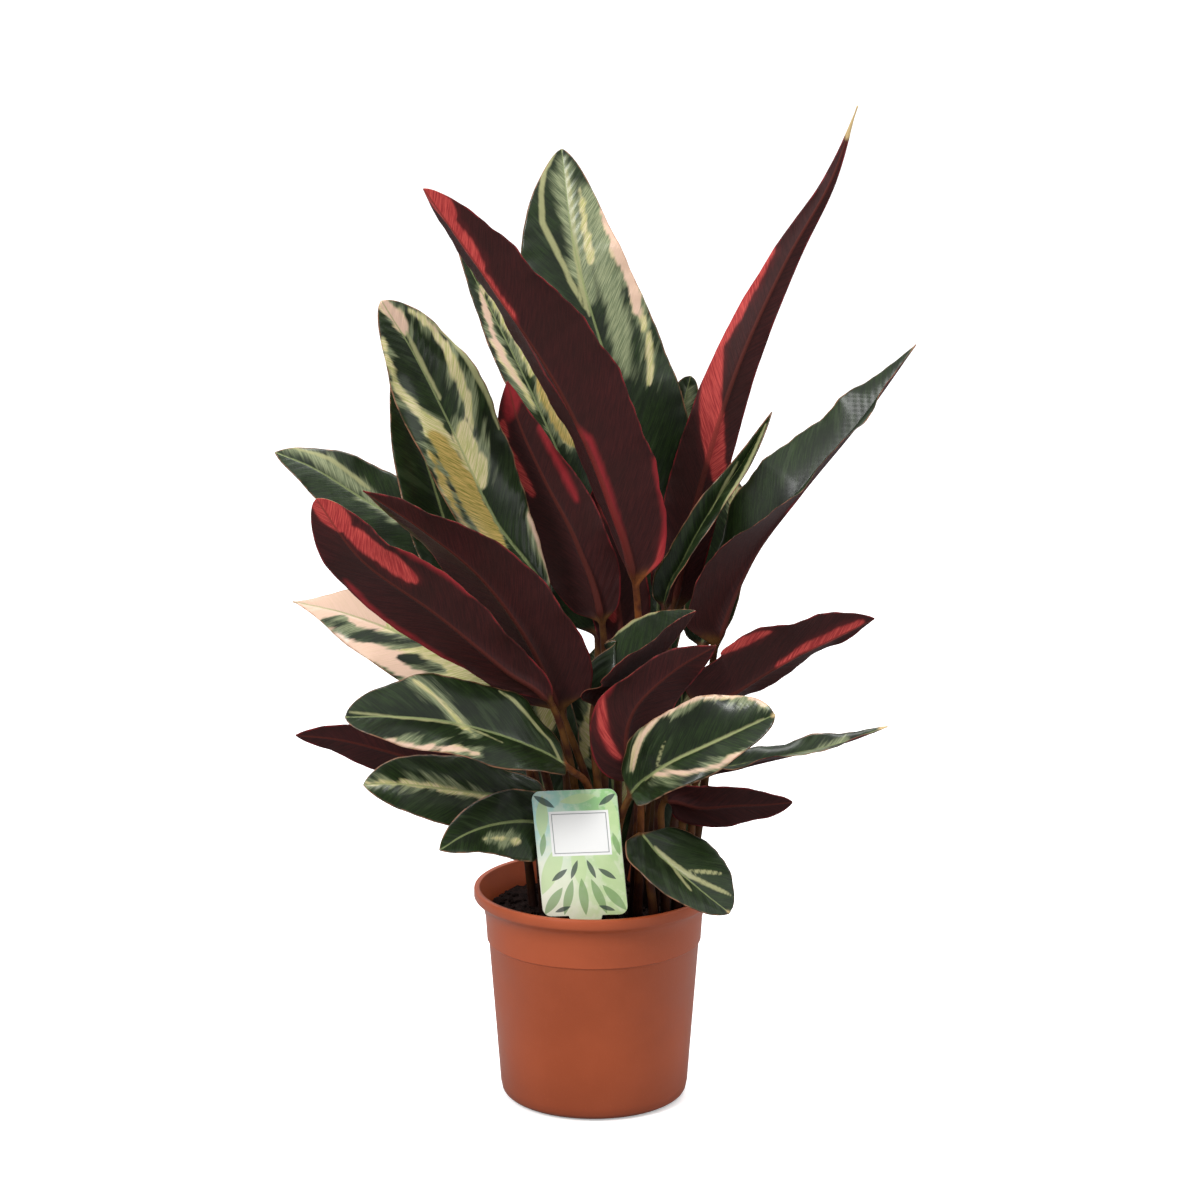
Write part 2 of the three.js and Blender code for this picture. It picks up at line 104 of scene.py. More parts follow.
# One row a leaf. path: foot, stem, collar, then the midrib to the tip.
# face: the way the upper side looks, from collar to tip. half: width of the left and right half, tip up.
# fold: degrees each half rises, at the collar and the tip.
# wave: height and count of the waves of the margin. full: where the blade is broadest and how it narrows.
LEAVES = {
    "leaf_01": dict(
        path=[
            (22, -16), (26, -20, 200), (24, -28, 307), (9, -42, 362), (-18, -56, 425), (-53, -70, 482),
            (-91, -85, 540),
        ],
        face=[(0.52, 0.79, 0.34), (0.52, 0.79, 0.34)],
        half=(37, 37), fold=(42, 42), wave=(1.5, 2.5), full=(0.5, 0.68),
    ),
    "leaf_02": dict(
        path=[
            (12, 22), (34, 38, 210), (42, 48, 308), (24, 56, 378), (4, 70, 434), (-12, 86, 491),
            (-19, 104, 544),
        ],
        face=[(-0.1, -1, 0.1), (0, -0.9, 0.3)],
        half=(47, 36), fold=(15, 15), wave=(1.5, 2.5), full=(0.45, 0.68),
    ),
    "leaf_03": dict(
        path=[
            (0, 10), (6, 24, 200), (10, 36, 293), (-11, 42, 350), (-36, 50, 407), (-59, 58, 453),
            (-79, 64, 492),
        ],
        face=[(0.5, -0.8, 0.3), (0.5, -0.8, 0.3)],
        half=(20, 15), fold=(25, 25), wave=(1.5, 2.5), full=(0.5, 0.75),
    ),
    "leaf_04": dict(
        path=[
            (4, -14), (6, -4, 190), (5, 6, 279), (-9, 8, 326), (-28, 8, 364), (-42, 6, 396),
            (-49, 4, 422),
        ],
        face=[(0.1, 0.95, 0.2), (0.1, 0.95, 0.2)],
        half=(20, 31), fold=(24, 24), wave=(1.5, 2.5), full=(0.5, 0.85),
    ),
    "leaf_05": dict(
        path=[
            (-12, -16), (-16, -12, 200), (-25, -14, 295), (-56, -20, 347), (-81, -24, 402),
            (-101, -26, 443), (-118, -28, 472),
        ],
        face=[(0.53, -0.81, 0.25), (0.53, -0.81, 0.25)],
        half=(28, 31), fold=(15, 15), wave=(2, 2.5), full=(0.95, 0.65),
    ),
    "leaf_06": dict(
        path=[
            (-8, -5), (-30, -2, 200), (-60, 2, 284), (-80, 8, 324), (-93, 12, 364), (-104, 16, 398),
            (-114, 18, 428),
        ],
        face=[(0.3, -0.9, 0.2), (0.3, -0.9, 0.2)],
        half=(24, 18), fold=(20, 20), wave=(1, 2.5), full=(0.5, 0.75),
    ),
    "leaf_07": dict(
        path=[
            (-20, 4), (-42, 12, 220), (-80, 16, 304), (-103, 20, 332), (-133, 24, 350), (-161, 28, 367),
            (-184, 32, 376),
        ],
        face=[(0.2, -0.8, 0.5), (0.2, -0.8, 0.5)],
        half=(22, 24), fold=(15, 15), wave=(1, 2.5), full=(0.5, 0.75),
    ),
    "leaf_08": dict(
        path=[
            (-6, -26), (-9, -33, 180), (-23, -52, 246), (-50, -66, 272), (-87, -80, 306),
            (-126, -92, 338), (-150, -100, 374),
        ],
        face=[(0.2, 0.9, 0.35), (0.2, 0.9, 0.35)],
        half=(24, 27), fold=(15, 15), wave=(1.5, 2.5), full=(0.75, 0.6),
    ),
    "leaf_09": dict(
        path=[
            (6, -29), (0, -32, 180), (-18, -38, 238), (-36, -48, 282), (-63, -56, 321), (-96, -62, 350),
            (-127, -66, 372),
        ],
        face=[(0.2, 0.9, 0.35), (0.2, 0.7, 0.6)],
        half=(30, 30), fold=(15, 30), wave=(1.5, 2.5), full=(0.35, 0.9),
    ),
    "leaf_10": dict(
        path=[
            (-28, -6), (-36, -5, 190), (-54, -7, 246), (-88, -8, 267), (-117, -6, 280), (-145, -2, 289),
            (-173, 4, 294),
        ],
        face=[(0.1, -0.75, 0.65), (0.1, -0.75, 0.65)],
        half=(29, 33), fold=(12, 12), wave=(1.5, 2.5), full=(0.8, 1.25),
    ),
    "leaf_11": dict(
        path=[
            (2, -40), (-1, -41, 186), (-14, -59, 212), (-41, -74, 231), (-77, -82, 244), (-107, -88, 249),
            (-137, -92, 250),
        ],
        face=[(0.05, -0.5, 0.87), (0.05, -0.79, 0.62)],
        half=(26, 30), fold=(18, 18), wave=(1.5, 2.5), full=(0.5, 0.6),
    ),
    "leaf_12": dict(
        path=[
            (-34, 6), (-42, 6, 160), (-56, 2, 189), (-88, -4, 198), (-119, -10, 209), (-147, -14, 217),
            (-171, -16, 220),
        ],
        face=[(0, 0.9, 0.3), (0, 0.9, 0.3)],
        half=(17, 17), fold=(15, 15), wave=(1, 2), full=(0.5, 0.75),
    ),
    "leaf_13": dict(
        path=[
            (-21, -22), (-21, -22, 160), (-26, -20, 185), (-53, -25, 187), (-81, -36, 193),
            (-109, -46, 199), (-130, -54, 201),
        ],
        face=[(0, -0.7, 0.7), (0, -0.7, 0.7)],
        half=(27, 23), fold=(15, 15), wave=(1, 2), full=(0.7, 0.7),
    ),
    "leaf_14": dict(
        path=[
            (-16, -35), (-16, -32, 140), (-18, -32, 164), (-33, -37, 174), (-52, -52, 178),
            (-70, -68, 177), (-86, -82, 171),
        ],
        face=[(-0.1, -0.9, 0.4), (-0.1, -0.8, 0.5)],
        half=(24, 19), fold=(8, 12), wave=(1, 2), full=(0.4, 0.75),
    ),
    "leaf_15": dict(
        path=[
            (14, -30), (4, -36, 180), (0, -36, 242), (18, -42, 253), (33, -46, 269), (47, -50, 286),
            (57, -52, 301),
        ],
        face=[(-0.6, -0.15, 0.76), (-0.6, -0.15, 0.76)],
        half=(36, 34), fold=(50, 50), wave=(1, 2), full=(0.5, 0.75),
    ),
    "leaf_16": dict(
        path=[
            (24, -28), (26, -36, 150), (26, -44, 198), (18, -54, 223), (23, -60, 247), (44, -64, 269),
            (68, -68, 285),
        ],
        face=[(-0.2, 0.9, 0.3), (-0.2, 0.9, 0.3)],
        half=(25, 21), fold=(15, 15), wave=(2, 2), full=(0.5, 0.85),
    ),
    "leaf_17": dict(
        path=[
            (8, -42), (12, -44, 160), (20, -62, 196), (36, -84, 218), (56, -96, 232), (79, -104, 245),
            (99, -110, 256),
        ],
        face=[(-0.26, -0.8, 0.54), (-0.26, -0.8, 0.54)],
        half=(29, 20), fold=(20, 20), wave=(1.5, 2), full=(0.45, 0.5),
    ),
    "leaf_18": dict(
        path=[
            (46, -16), (52, -20, 180), (61, -20, 234), (83, -18, 248), (109, -12, 262), (136, -6, 274),
            (161, 0, 285),
        ],
        face=[(-0.29, 0.77, 0.58), (-0.29, 0.77, 0.58)],
        half=(16, 33), fold=(20, 20), wave=(1.5, 2), full=(0.35, 0.75),
    ),
    "leaf_19": dict(
        path=[
            (54, -12), (56, -16, 160), (60, -16, 195), (84, -12, 201), (113, -8, 206), (145, -2, 212),
            (170, 4, 220),
        ],
        face=[(-0.1, -0.2, 1), (-0.1, -0.2, 1)],
        half=(12, 11), fold=(32, 32), wave=(1, 2), full=(0.5, 0.75),
    ),
    "leaf_20": dict(
        path=[
            (42, -26), (40, -27, 150), (40, -28, 184), (61, -32, 182), (80, -36, 184), (97, -38, 185),
            (113, -40, 187),
        ],
        face=[(0, 0.9, 0.4), (0, 0.9, 0.4)],
        half=(16, 15), fold=(10, 10), wave=(1, 2), full=(0.35, 0.65),
    ),
    "leaf_21": dict(
        path=[
            (36, -38), (32, -42, 140), (26, -46, 169), (37, -56, 160), (51, -68, 151), (64, -76, 142),
            (76, -82, 134),
        ],
        face=[(0.5, -0.5, 0.7), (0.5, -0.5, 0.7)],
        half=(34, 28), fold=(15, 15), wave=(1, 2), full=(0.4, 0.6),
    ),
    "leaf_22": dict(
        path=[
            (30, 2), (38, 12, 200), (45, 20, 280), (61, 26, 355), (82, 32, 424), (109, 38, 484),
            (135, 42, 531), (150, 44, 574),
        ],
        face=[(0.1, 0.95, 0.1), (0.1, 0.95, 0.1)],
        half=(16, 22), fold=(30, 30), wave=(1, 3), full=(0.3, 1.1),
    ),
    "leaf_23": dict(
        path=[
            (26, 18), (34, 40, 170), (38, 58, 240), (38, 68, 300), (43, 76, 348), (50, 82, 384),
            (57, 88, 412),
        ],
        face=[(0, -1, 0.1), (0, -1, 0.1)],
        half=(21, 19), fold=(20, 20), wave=(1, 2), full=(0.4, 0.5),
    ),
    "leaf_24": dict(
        path=[
            (34, -20), (38, -18, 200), (40, -16, 292), (52, -18, 325), (68, -18, 355), (85, -18, 381),
            (100, -18, 408),
        ],
        face=[(-0.6, -0.5, 0.4), (0, -1, 0.1)],
        half=(12, 15), fold=(50, 55), wave=(1, 3), full=(0.3, 0.75),
    ),
    "leaf_25": dict(
        path=[
            (52, 4), (64, -6, 190), (69, -10, 268), (88, -4, 318), (118, 4, 357), (153, 14, 398),
            (184, 24, 440),
        ],
        face=[(-0.84, 0.5, 0.2), (-0.7, -0.34, 0.61), (-0.7, -0.37, 0.6)],
        half=(42, 38), fold=(38, 38), wave=(1.5, 3), full=(0.35, 1),
    ),
    "leaf_26": dict(
        path=[
            (14, 2), (14, 8, 190), (16, 13, 255), (14, 18, 290), (9, 21, 318), (4, 23, 340),
            (1, 24, 358),
        ],
        face=[(0, 1, 0), (0, 1, 0)],
        half=(20, 18), fold=(20, 20), wave=(1, 2), full=(0.5, 0.75),
    ),
    "leaf_27": dict(
        path=[(2, 26), (2, 48, 200), (2, 66, 258), (-2, 82, 304), (-7, 94, 350), (-11, 100, 397)],
        face=[(0, -1, 0.1), (0, -1, 0.1)],
        half=(30, 30), fold=(15, 15), wave=(1.5, 2), full=(0.5, 0.7),
    ),
    "leaf_28": dict(
        path=[(38, 20), (54, 48, 190), (64, 72, 250), (74, 88, 288), (82, 102, 320), (86, 114, 344)],
        face=[(-0.5, -0.8, 0.3), (-0.4, -0.5, 0.8)],
        half=(22, 22), fold=(20, 20), wave=(1.5, 2), full=(0.5, 0.7),
    ),
    "leaf_29": dict(
        path=[(-12, 14), (-19, 34, 130), (-25, 46, 150), (-34, 57, 192), (-42, 67, 238), (-52, 76, 286)],
        face=[(0.2, -0.9, 0.2), (0.2, -0.8, 0.4)],
        half=(27, 27), fold=(20, 20), wave=(1.5, 2), full=(0.5, 0.7),
    ),
    "leaf_30": dict(
        path=[(16, 36), (16, 44, 118), (15, 51, 128), (12, 60, 162), (8, 69, 205), (5, 77, 252)],
        face=[(0, -1, 0.1), (0, -1, 0.1)],
        half=(32, 32), fold=(12, 12), wave=(1.5, 2), full=(0.3, 0.6),
    ),
    "leaf_31": dict(
        path=[(47, 24), (48, 33, 118), (48, 40, 129), (49, 52, 160), (51, 62, 198), (53, 70, 238)],
        face=[(0, -1, 0.1), (0, -1, 0.1)],
        half=(20, 14), fold=(15, 15), wave=(1.5, 2), full=(0.4, 0.6),
    ),
}

# Marks seen in the photograph, as strokes: a kind, the side of the leaf, a width and the points,
# in pixels of a photograph 1200 wide
PHOTO_MARKS = {
    "leaf_01": [
        ("cream", "under", 11, (422, 187), (436, 203), (450, 222)),
        ("cream", "under", 7, (450, 222), (468, 250), (482, 272)),
        ("cream", "under", 4.5, (482, 272), (497, 295), (512, 318)),
        ("pink", "under", 3, (512, 318), (545, 375), (590, 440), (610, 500), (628, 560)),
        ("pink", "under", 4, (657, 455), (664, 490), (668, 520), (662, 555), (650, 580)),
        ("cream", "under", 4, (667, 535), (661, 560), (647, 585)),
    ],
    "leaf_02": [
        ("cream", "upper", 3, (553, 150), (545, 170), (541, 195), (543, 220), (550, 240),
         (563, 265), (575, 290), (585, 310)),
        ("cream", "upper", 3, (566, 170), (572, 210), (576, 250), (582, 290), (590, 315)),
        ("cream", "upper", 4, (580, 190), (585, 220), (592, 262)),
        ("sage", "upper", 12, (562, 160), (567, 200), (578, 250), (592, 300)),
        ("sage", "upper", 14, (585, 190), (600, 235), (610, 285), (618, 320), (628, 370)),
        ("cream", "upper", 8, (603, 207), (614, 235), (624, 262), (634, 290), (640, 315)),
        ("pink", "upper", 10, (603, 207), (614, 235), (624, 262), (634, 290), (640, 315)),
        ("cream", "upper", 4, (645, 320), (651, 345), (652, 385)),
    ],
    "leaf_03": [
        ("cream", "upper", 5, (480, 290), (492, 330), (505, 360), (520, 385), (535, 410)),
        ("pink", "upper", 6, (480, 290), (492, 330), (505, 360), (520, 385)),
        ("cream", "upper", 4, (486, 287), (505, 320), (533, 373)),
        ("cream", "upper", 12, (540, 380), (555, 410), (575, 445)),
        ("olive", "upper", 14, (540, 380), (555, 410), (575, 445)),
    ],
    "leaf_04": [
        ("cream", "under", 6, (504, 425), (501, 455), (505, 485)),
        ("cream", "under", 4, (510, 450), (522, 475), (532, 492)),
        ("pink", "under", 7, (508, 385), (512, 400), (508, 420)),
        ("pink", "under", 3, (540, 428), (555, 455), (568, 480), (577, 500)),
    ],
    "leaf_05": [
        ("cream", "upper", 7, (381, 301), (395, 315), (407, 333)),
        ("pink", "upper", 9, (381, 301), (395, 315), (407, 333)),
        ("cream", "upper", 2, (407, 333), (420, 360), (440, 400)),
        ("cream", "upper", 5, (412, 312), (430, 325), (445, 345), (456, 370), (466, 400), (473, 430)),
        ("cream", "upper", 2.5, (430, 320), (452, 338), (472, 365), (490, 398), (500, 430)),
        ("pink", "upper", 3, (430, 320), (452, 338), (472, 365), (490, 398), (500, 430)),
        ("cream", "upper", 5, (382, 340), (389, 368), (400, 390), (420, 410), (440, 425)),
        ("cream", "upper", 19, (428, 425), (442, 452), (460, 490), (480, 525), (500, 552)),
        ("olive", "upper", 22, (435, 440), (460, 490), (480, 525), (505, 560)),
        ("cream", "upper", 12, (462, 425), (470, 455), (482, 485)),
        ("clear", "upper", 4, (428, 442), (445, 475), (462, 510), (478, 535)),
        ("cream", "upper", 4, (530, 515), (545, 550), (562, 582)),
        ("pink", "upper", 5, (530, 515), (545, 550), (562, 582)),
        ("pink", "upper", 1.5, (395, 395), (420, 455), (445, 500), (470, 532)),
    ],
    "leaf_07": [
        ("sage", "upper", 12, (285, 440), (320, 460), (360, 490), (395, 522)),
        ("cream", "upper", 2, (290, 440), (330, 460), (370, 490)),
    ],
    "leaf_08": [
        ("cream", "under", 10, (318, 499), (330, 513), (345, 527)),
        ("cream", "under", 7, (345, 527), (365, 543), (388, 560), (415, 580)),
        ("pink", "under", 3.5, (400, 545), (430, 555), (460, 570), (478, 582)),
        ("pink", "under", 3.5, (345, 580), (380, 620), (420, 655), (460, 675)),
    ],
    "leaf_10": [
        ("clear", "upper", 5, (318, 620), (350, 624)),
        ("clear", "upper", 6, (345, 632), (390, 640), (430, 642)),
        ("clear", "upper", 5, (400, 656), (445, 672)),
    ],
    "leaf_11": [
        ("cream", "upper", 4, (415, 680), (440, 700), (475, 735)),
        ("cream", "upper", 5, (385, 742), (430, 748), (480, 754)),
        ("pink", "upper", 7, (385, 742), (430, 748), (480, 754)),
        ("cream", "upper", 3, (500, 690), (525, 710), (550, 740), (568, 768)),
        ("pink", "upper", 4, (500, 690), (525, 710), (550, 740), (568, 768)),
        ("cream", "upper", 2, (350, 712), (400, 718), (470, 728), (500, 742)),
    ],
    "leaf_13": [
        ("cream", "upper", 3.5, (365, 783), (430, 786), (500, 800)),
    ],
    "leaf_15": [
        ("cream", "upper", 2.5, (612, 632), (640, 612), (655, 600)),
        ("pink", "upper", 3, (612, 632), (640, 612), (655, 600)),
        ("pink", "under", 3, (592, 682), (630, 645), (678, 600)),
    ],
    "leaf_16": [
        ("cream", "under", 5, (598, 690), (600, 715), (607, 740), (620, 757)),
        ("pink", "under", 4, (594, 660), (598, 700)),
    ],
    "leaf_17": [
        ("cream", "upper", 5, (632, 770), (640, 740), (660, 715), (690, 700), (720, 694),
         (750, 692), (770, 700)),
        ("pink", "upper", 7, (632, 770), (640, 740), (660, 715), (690, 700), (720, 694),
         (750, 692), (770, 700)),
        ("cream", "upper", 5, (655, 775), (690, 772), (720, 764), (742, 752)),
        ("pink", "upper", 7, (655, 775), (690, 772), (720, 764), (742, 752)),
        ("cream", "upper", 2.5, (655, 770), (668, 742)),
        ("cream", "upper", 2.5, (645, 780), (680, 757), (730, 735), (765, 718)),
    ],
    "leaf_18": [
        ("cream", "under", 5, (718, 655), (745, 643), (770, 632)),
        ("cream", "under", 5.5, (795, 652), (825, 638), (862, 622)),
        ("cream", "under", 3, (778, 668), (800, 650)),
    ],
    "leaf_19": [
        ("sage", "upper", 6, (790, 765), (850, 750)),
        ("cream", "upper", 2, (860, 745), (887, 735)),
    ],
    "leaf_21": [
        ("cream", "upper", 3, (655, 848), (690, 875), (730, 895)),
        ("olive", "upper", 5, (655, 848), (690, 875), (730, 895)),
        ("cream", "upper", 2.5, (668, 858), (690, 890)),
        ("cream", "upper", 2.5, (690, 873), (720, 872)),
    ],
    "leaf_22": [
        ("cream", "under", 11, (714, 350), (711, 400), (714, 440), (720, 480)),
        ("cream", "under", 5, (720, 345), (738, 310), (756, 280), (772, 250)),
    ],
    "leaf_24": [
        ("cream", "upper", 2, (738, 462), (722, 490), (708, 515)),
        ("cream", "upper", 2.5, (765, 425), (750, 460), (725, 510)),
        ("pink", "upper", 4, (765, 425), (750, 460), (725, 510)),
    ],
    "leaf_25": [
        ("pink", "under", 3, (870, 380), (830, 450), (790, 510)),
    ],
}

# How much wider than placed the marks of a leaf are painted
MARK_SCALE = {
    ("leaf_01", "cream"): 1.25,
    ("leaf_04", "cream"): 1.35,
    ("leaf_04", "pink"): 1.2,
    ("leaf_07", "sage"): 0.5,
    ("leaf_08", "cream"): 1.4,
    ("leaf_10", "clear"): 1.6,
    ("leaf_11", "cream"): 0.8,
    ("leaf_11", "pink"): 0.8,
    ("leaf_17", "cream"): 0.7,
    ("leaf_17", "pink"): 0.7,
    ("leaf_18", "cream"): 1.2,
    ("leaf_22", "cream"): 1.15,
}

# Marks that the photograph doesn't show, or that fill a leaf: a kind, half a width in millimetres, and points
# that give the share along the blade and the share of the way from midrib to edge, below zero on the left
BLADE_MARKS = {
    "leaf_09": [
        ("olive", 2.6, (0.98, 1), (0.85, 1), (0.7, 1)),
        ("pink", 1.4, (0.6, 1), (0.4, 1)),
    ],
    "leaf_10": [
        ("cream", 26, (0, 0), (0.5, 0), (1, 0)),
        ("pink", 30, (0.6, 0.6), (1, 0)),
        ("pink", 8, (0.75, -1), (0.2, -1)),
    ],
    "leaf_14": [
        ("cream", 1.2, (0.7, -0.4), (0.4, -0.5)),
    ],
    "leaf_17": [
        ("dry", 3, (1, 0)),
    ],
    "leaf_19": [
        ("dry", 2.4, (1, 0), (0.96, 0)),
    ],
    "leaf_21": [
        ("dry", 3, (1, 0)),
    ],
    "leaf_22": [
        ("dry", 3, (1, 0), (0.94, 0)),
    ],
    "leaf_23": [
        ("sage", 4, (0.95, 0.3), (0.6, 0.5), (0.3, 0.3)),
        ("cream", 1.6, (0.9, -0.4), (0.5, -0.3)),
    ],
    "leaf_25": [
        ("olive", 3, (1, 0), (0.95, 0)),
    ],
    "leaf_26": [
        ("cream", 5, (0.8, 0.7), (0.5, 0.5), (0.25, 0.2)),
        ("pink", 3, (0.8, 1), (0.5, 1)),
        ("cream", 3, (0.95, -0.2), (0.75, -0.5), (0.6, -0.7)),
    ],
    "leaf_27": [
        ("cream", 5.5, (0.9, -0.3), (0.6, -0.6), (0.35, -0.4)),
        ("sage", 6, (0.7, 0.4), (0.4, 0.5)),
        ("pink", 2.5, (0.75, -1), (0.4, -1)),
    ],
    "leaf_28": [
        ("cream", 5, (0.95, 0), (0.8, 0.4), (0.55, 0.7)),
        ("cream", 2.4, (0.6, -0.8), (0.3, -0.9)),
        ("olive", 4, (0.6, 0.6), (0.4, 0.8)),
    ],
    "leaf_29": [
        ("cream", 6, (0.7, 0.5), (0.4, 0.35)),
        ("sage", 5, (0.85, -0.4), (0.5, -0.4)),
        ("pink", 2.2, (0.7, 1), (0.3, 1)),
    ],
    "leaf_30": [
        ("cream", 4, (0.95, -0.4), (0.7, -0.3), (0.45, -0.6)),
        ("pink", 2.4, (0.9, 1), (0.6, 1)),
        ("cream", 2.4, (0.5, 0.5), (0.25, 0.2)),
    ],
    "leaf_31": [
        ("cream", 5, (0.85, 0.6), (0.6, 0.8), (0.3, 0.6)),
        ("sage", 5, (0.7, -0.3), (0.4, -0.5)),
        ("pink", 2, (0.85, 1), (0.5, 1)),
    ],
}

# Stem colour of a leaf, from olive at 0 to ochre at 1
STEM_TONE = {"leaf_01": 1.0, "leaf_11": 0.9, "leaf_16": 0.8, "leaf_22": 0.3, "leaf_24": 0.2}


def colour(red, green, blue):
    """A colour as a screen shows it, 0 to 255, as the linear values that shaders take."""
    def linear(c):
        c /= 255
        return c / 12.92 if c <= 0.04045 else ((c + 0.055) / 1.055) ** 2.4
    return (linear(red), linear(green), linear(blue), 1)


# Colours
GREEN_DARK = colour(20, 32, 12)
GREEN_MID = colour(36, 54, 20)
GREEN_DEEP = colour(10, 17, 7)
SAGE_DARK = colour(52, 66, 40)
SAGE = colour(104, 116, 84)
SAGE_PALE = colour(156, 162, 124)
CREAM = colour(208, 194, 152)
CREAM_GREEN = colour(170, 170, 104)
YELLOW_OLIVE = colour(190, 160, 92)
OLIVE_DARK = colour(128, 122, 56)
CREAM_PINK = colour(214, 178, 160)
RIB_PALE = colour(158, 158, 112)
DRY_TIP = colour(196, 170, 122)
MIDRIB_GREEN = colour(140, 152, 98)
RIM_PINK = colour(160, 112, 84)
WINE = colour(68, 29, 28)
WINE_DARK = colour(48, 21, 22)
WINE_BROWN = colour(46, 25, 22)
FLAME = colour(198, 78, 72)
FLAME_DEEP = colour(152, 46, 48)
FLAME_SHADE = colour(92, 30, 32)
MARGIN_RED = colour(150, 40, 46)
UNDER_OLIVE = colour(72, 66, 32)
RIB_RED = colour(100, 42, 32)
STEM_OCHRE = colour(118, 66, 28)
STEM_OLIVE = colour(66, 58, 26)
STEM_RED = colour(64, 28, 20)
# Stem foot: partly the stem's own red, partly painted shade deep in the clump
STEM_FOOT_RED_AND_SHADE = colour(28, 13, 11)
POT_ORANGE = colour(176, 82, 44)
POT_BROWN = colour(166, 76, 39)
# Painted shade for the lower part of the pot
POT_BOTTOM_SHADE = colour(120, 54, 32)
POT_LIGHT = colour(188, 98, 58)
SOIL_DARK = colour(18, 10, 8)
SOIL_BROWN = colour(36, 21, 17)
SOIL_FIBRE = colour(84, 54, 38)
CARD_AQUA = colour(176, 222, 216)
CARD_GREEN = colour(152, 202, 134)
CARD_PALE = colour(240, 242, 222)
CARD_LEAF = colour(198, 222, 164)
CARD_SLATE = colour(52, 70, 68)
CARD_MOSS = colour(118, 158, 96)
CARD_WHITE = colour(250, 250, 248)
CARD_GREY = colour(120, 122, 124)
FLOOR_WHITE = colour(250, 250, 250)
FLOOR_SHADE = colour(150, 150, 150)
FLOOR_GLOW = 0.35

# Design on the card: a bare panel and plain leaf shapes, each with its centre, turn, length and width
CARD_PANEL_AT = (1.5, 48)
CARD_PANEL = (35, 26)
CARD_STAMPS = [
    (CARD_LEAF, 0.8, [
        ((-17, 28), 64, 17, 5), ((16, 27), 118, 16, 5), ((-20, 58), 84, 13, 3.6), ((21, 57), 97, 13, 3.6),
        ((2, 68), 8, 11, 2.8), ((-1, 30), 92, 14, 4.4),
    ]),
    (CARD_MOSS, 0.75, [
        ((-18, 9), 52, 10, 2.8), ((-9, 11), 72, 11, 2.6), ((0, 11), 92, 11, 2.8), ((9, 11), 110, 11, 2.6),
        ((18, 10), 130, 10, 2.8), ((-21, 42), 78, 7, 1.8), ((22, 41), 103, 7, 1.8),
    ]),
    (CARD_SLATE, 0.85, [
        ((-13, 24), 35, 6, 1.6), ((-4, 27), 66, 6, 1.5), ((6, 27), 112, 6, 1.5), ((15, 24), 147, 6, 1.6),
        ((-18, 67), -32, 7, 1.9), ((19, 67), 212, 6, 1.7), ((-13, 4), 18, 5, 1.3), ((13, 4), 162, 5, 1.3),
    ]),
]

# Gloss of the leaves, above and beneath, and of the wax on their upper side
LEAF_SHINE = 0.15
UPPER_ROUGH = 0.4
UNDER_ROUGH = 0.5
WAX = 0.32
WAX_ROUGH = 0.2

# Light
LIGHT_AIM = Vector((0, 0, 0.3))
SKY_LOW = 0.22
SKY_HIGH = 1.15
LIGHTS = [
    ("key", (-1.5, -1.7, 1.9), (0.8, 0.8), 48),
    ("fill", (1.9, -1.3, 1.1), (1.0, 1.4), 12),
    ("top", (0.1, 0.5, 2.2), (1.2, 0.8), 28),
]


def unit(vectors):
    return vectors / np.linalg.norm(vectors, axis=-1, keepdims=True)


def flat_to(vectors, axes):
    """The vectors with their share along the axes taken out, at unit length."""
    return unit(vectors - (vectors * axes).sum(axis=-1, keepdims=True) * axes)


def smoothstep(values, low, high):
    share = np.clip((values - low) / (high - low), 0, 1)
    return share * share * (3 - 2 * share)


# Shape of a leaf
def curve_points(points, times):
    """Points at the given times, 0 to 1, on a smooth curve through the points."""
    points = np.vstack([2 * points[0] - points[1], points, 2 * points[-1] - points[-2]])
    spans = len(points) - 3
    place = np.clip(times, 0, 1) * spans
    first = np.minimum(place.astype(int), spans - 1)
    share = (place - first)[:, None]
    before, start, end, after = (points[first + step] for step in range(4))
    leave = (end - before) / 2
    arrive = (after - start) / 2
    square = 3 * (end - start) - 2 * leave - arrive
    cube = 2 * (start - end) + leave + arrive
    return start + leave * share + square * share**2 + cube * share**3


def leaf_spine(leaf):
    """A function from shares of the length to places and directions, the length, and the stem's share."""
    foot, *rest = leaf["path"]
    points = np.array([(*foot, SOIL_TOP - STEM_DEPTH), *rest], float)
    times = np.linspace(0, 1, 201)
    steps = np.linalg.norm(np.diff(curve_points(points, times), axis=0), axis=1)
    lengths = np.concatenate([[0], np.cumsum(steps)])
    collar = lengths[round(2 / (len(points) - 1) * 200)] / lengths[-1]

    def at(shares):
        when = np.interp(shares * lengths[-1], lengths, times)
        ahead = curve_points(points, np.minimum(when + 1e-4, 1))
        behind = curve_points(points, np.maximum(when - 1e-4, 0))
        return curve_points(points, when), unit(ahead - behind)

    return at, lengths[-1], collar


def leaf_faces(leaf, along):
    faces = np.array(leaf["face"], float)
    place = along * (len(faces) - 1)
    return np.stack([np.interp(place, range(len(faces)), faces[:, k]) for k in range(3)], axis=1)


def fullness(leaf, along):
    rise, fall = leaf["full"]
    broadest = rise / (rise + fall)
    return (along / broadest) ** rise * ((1 - along) / (1 - broadest)) ** fall


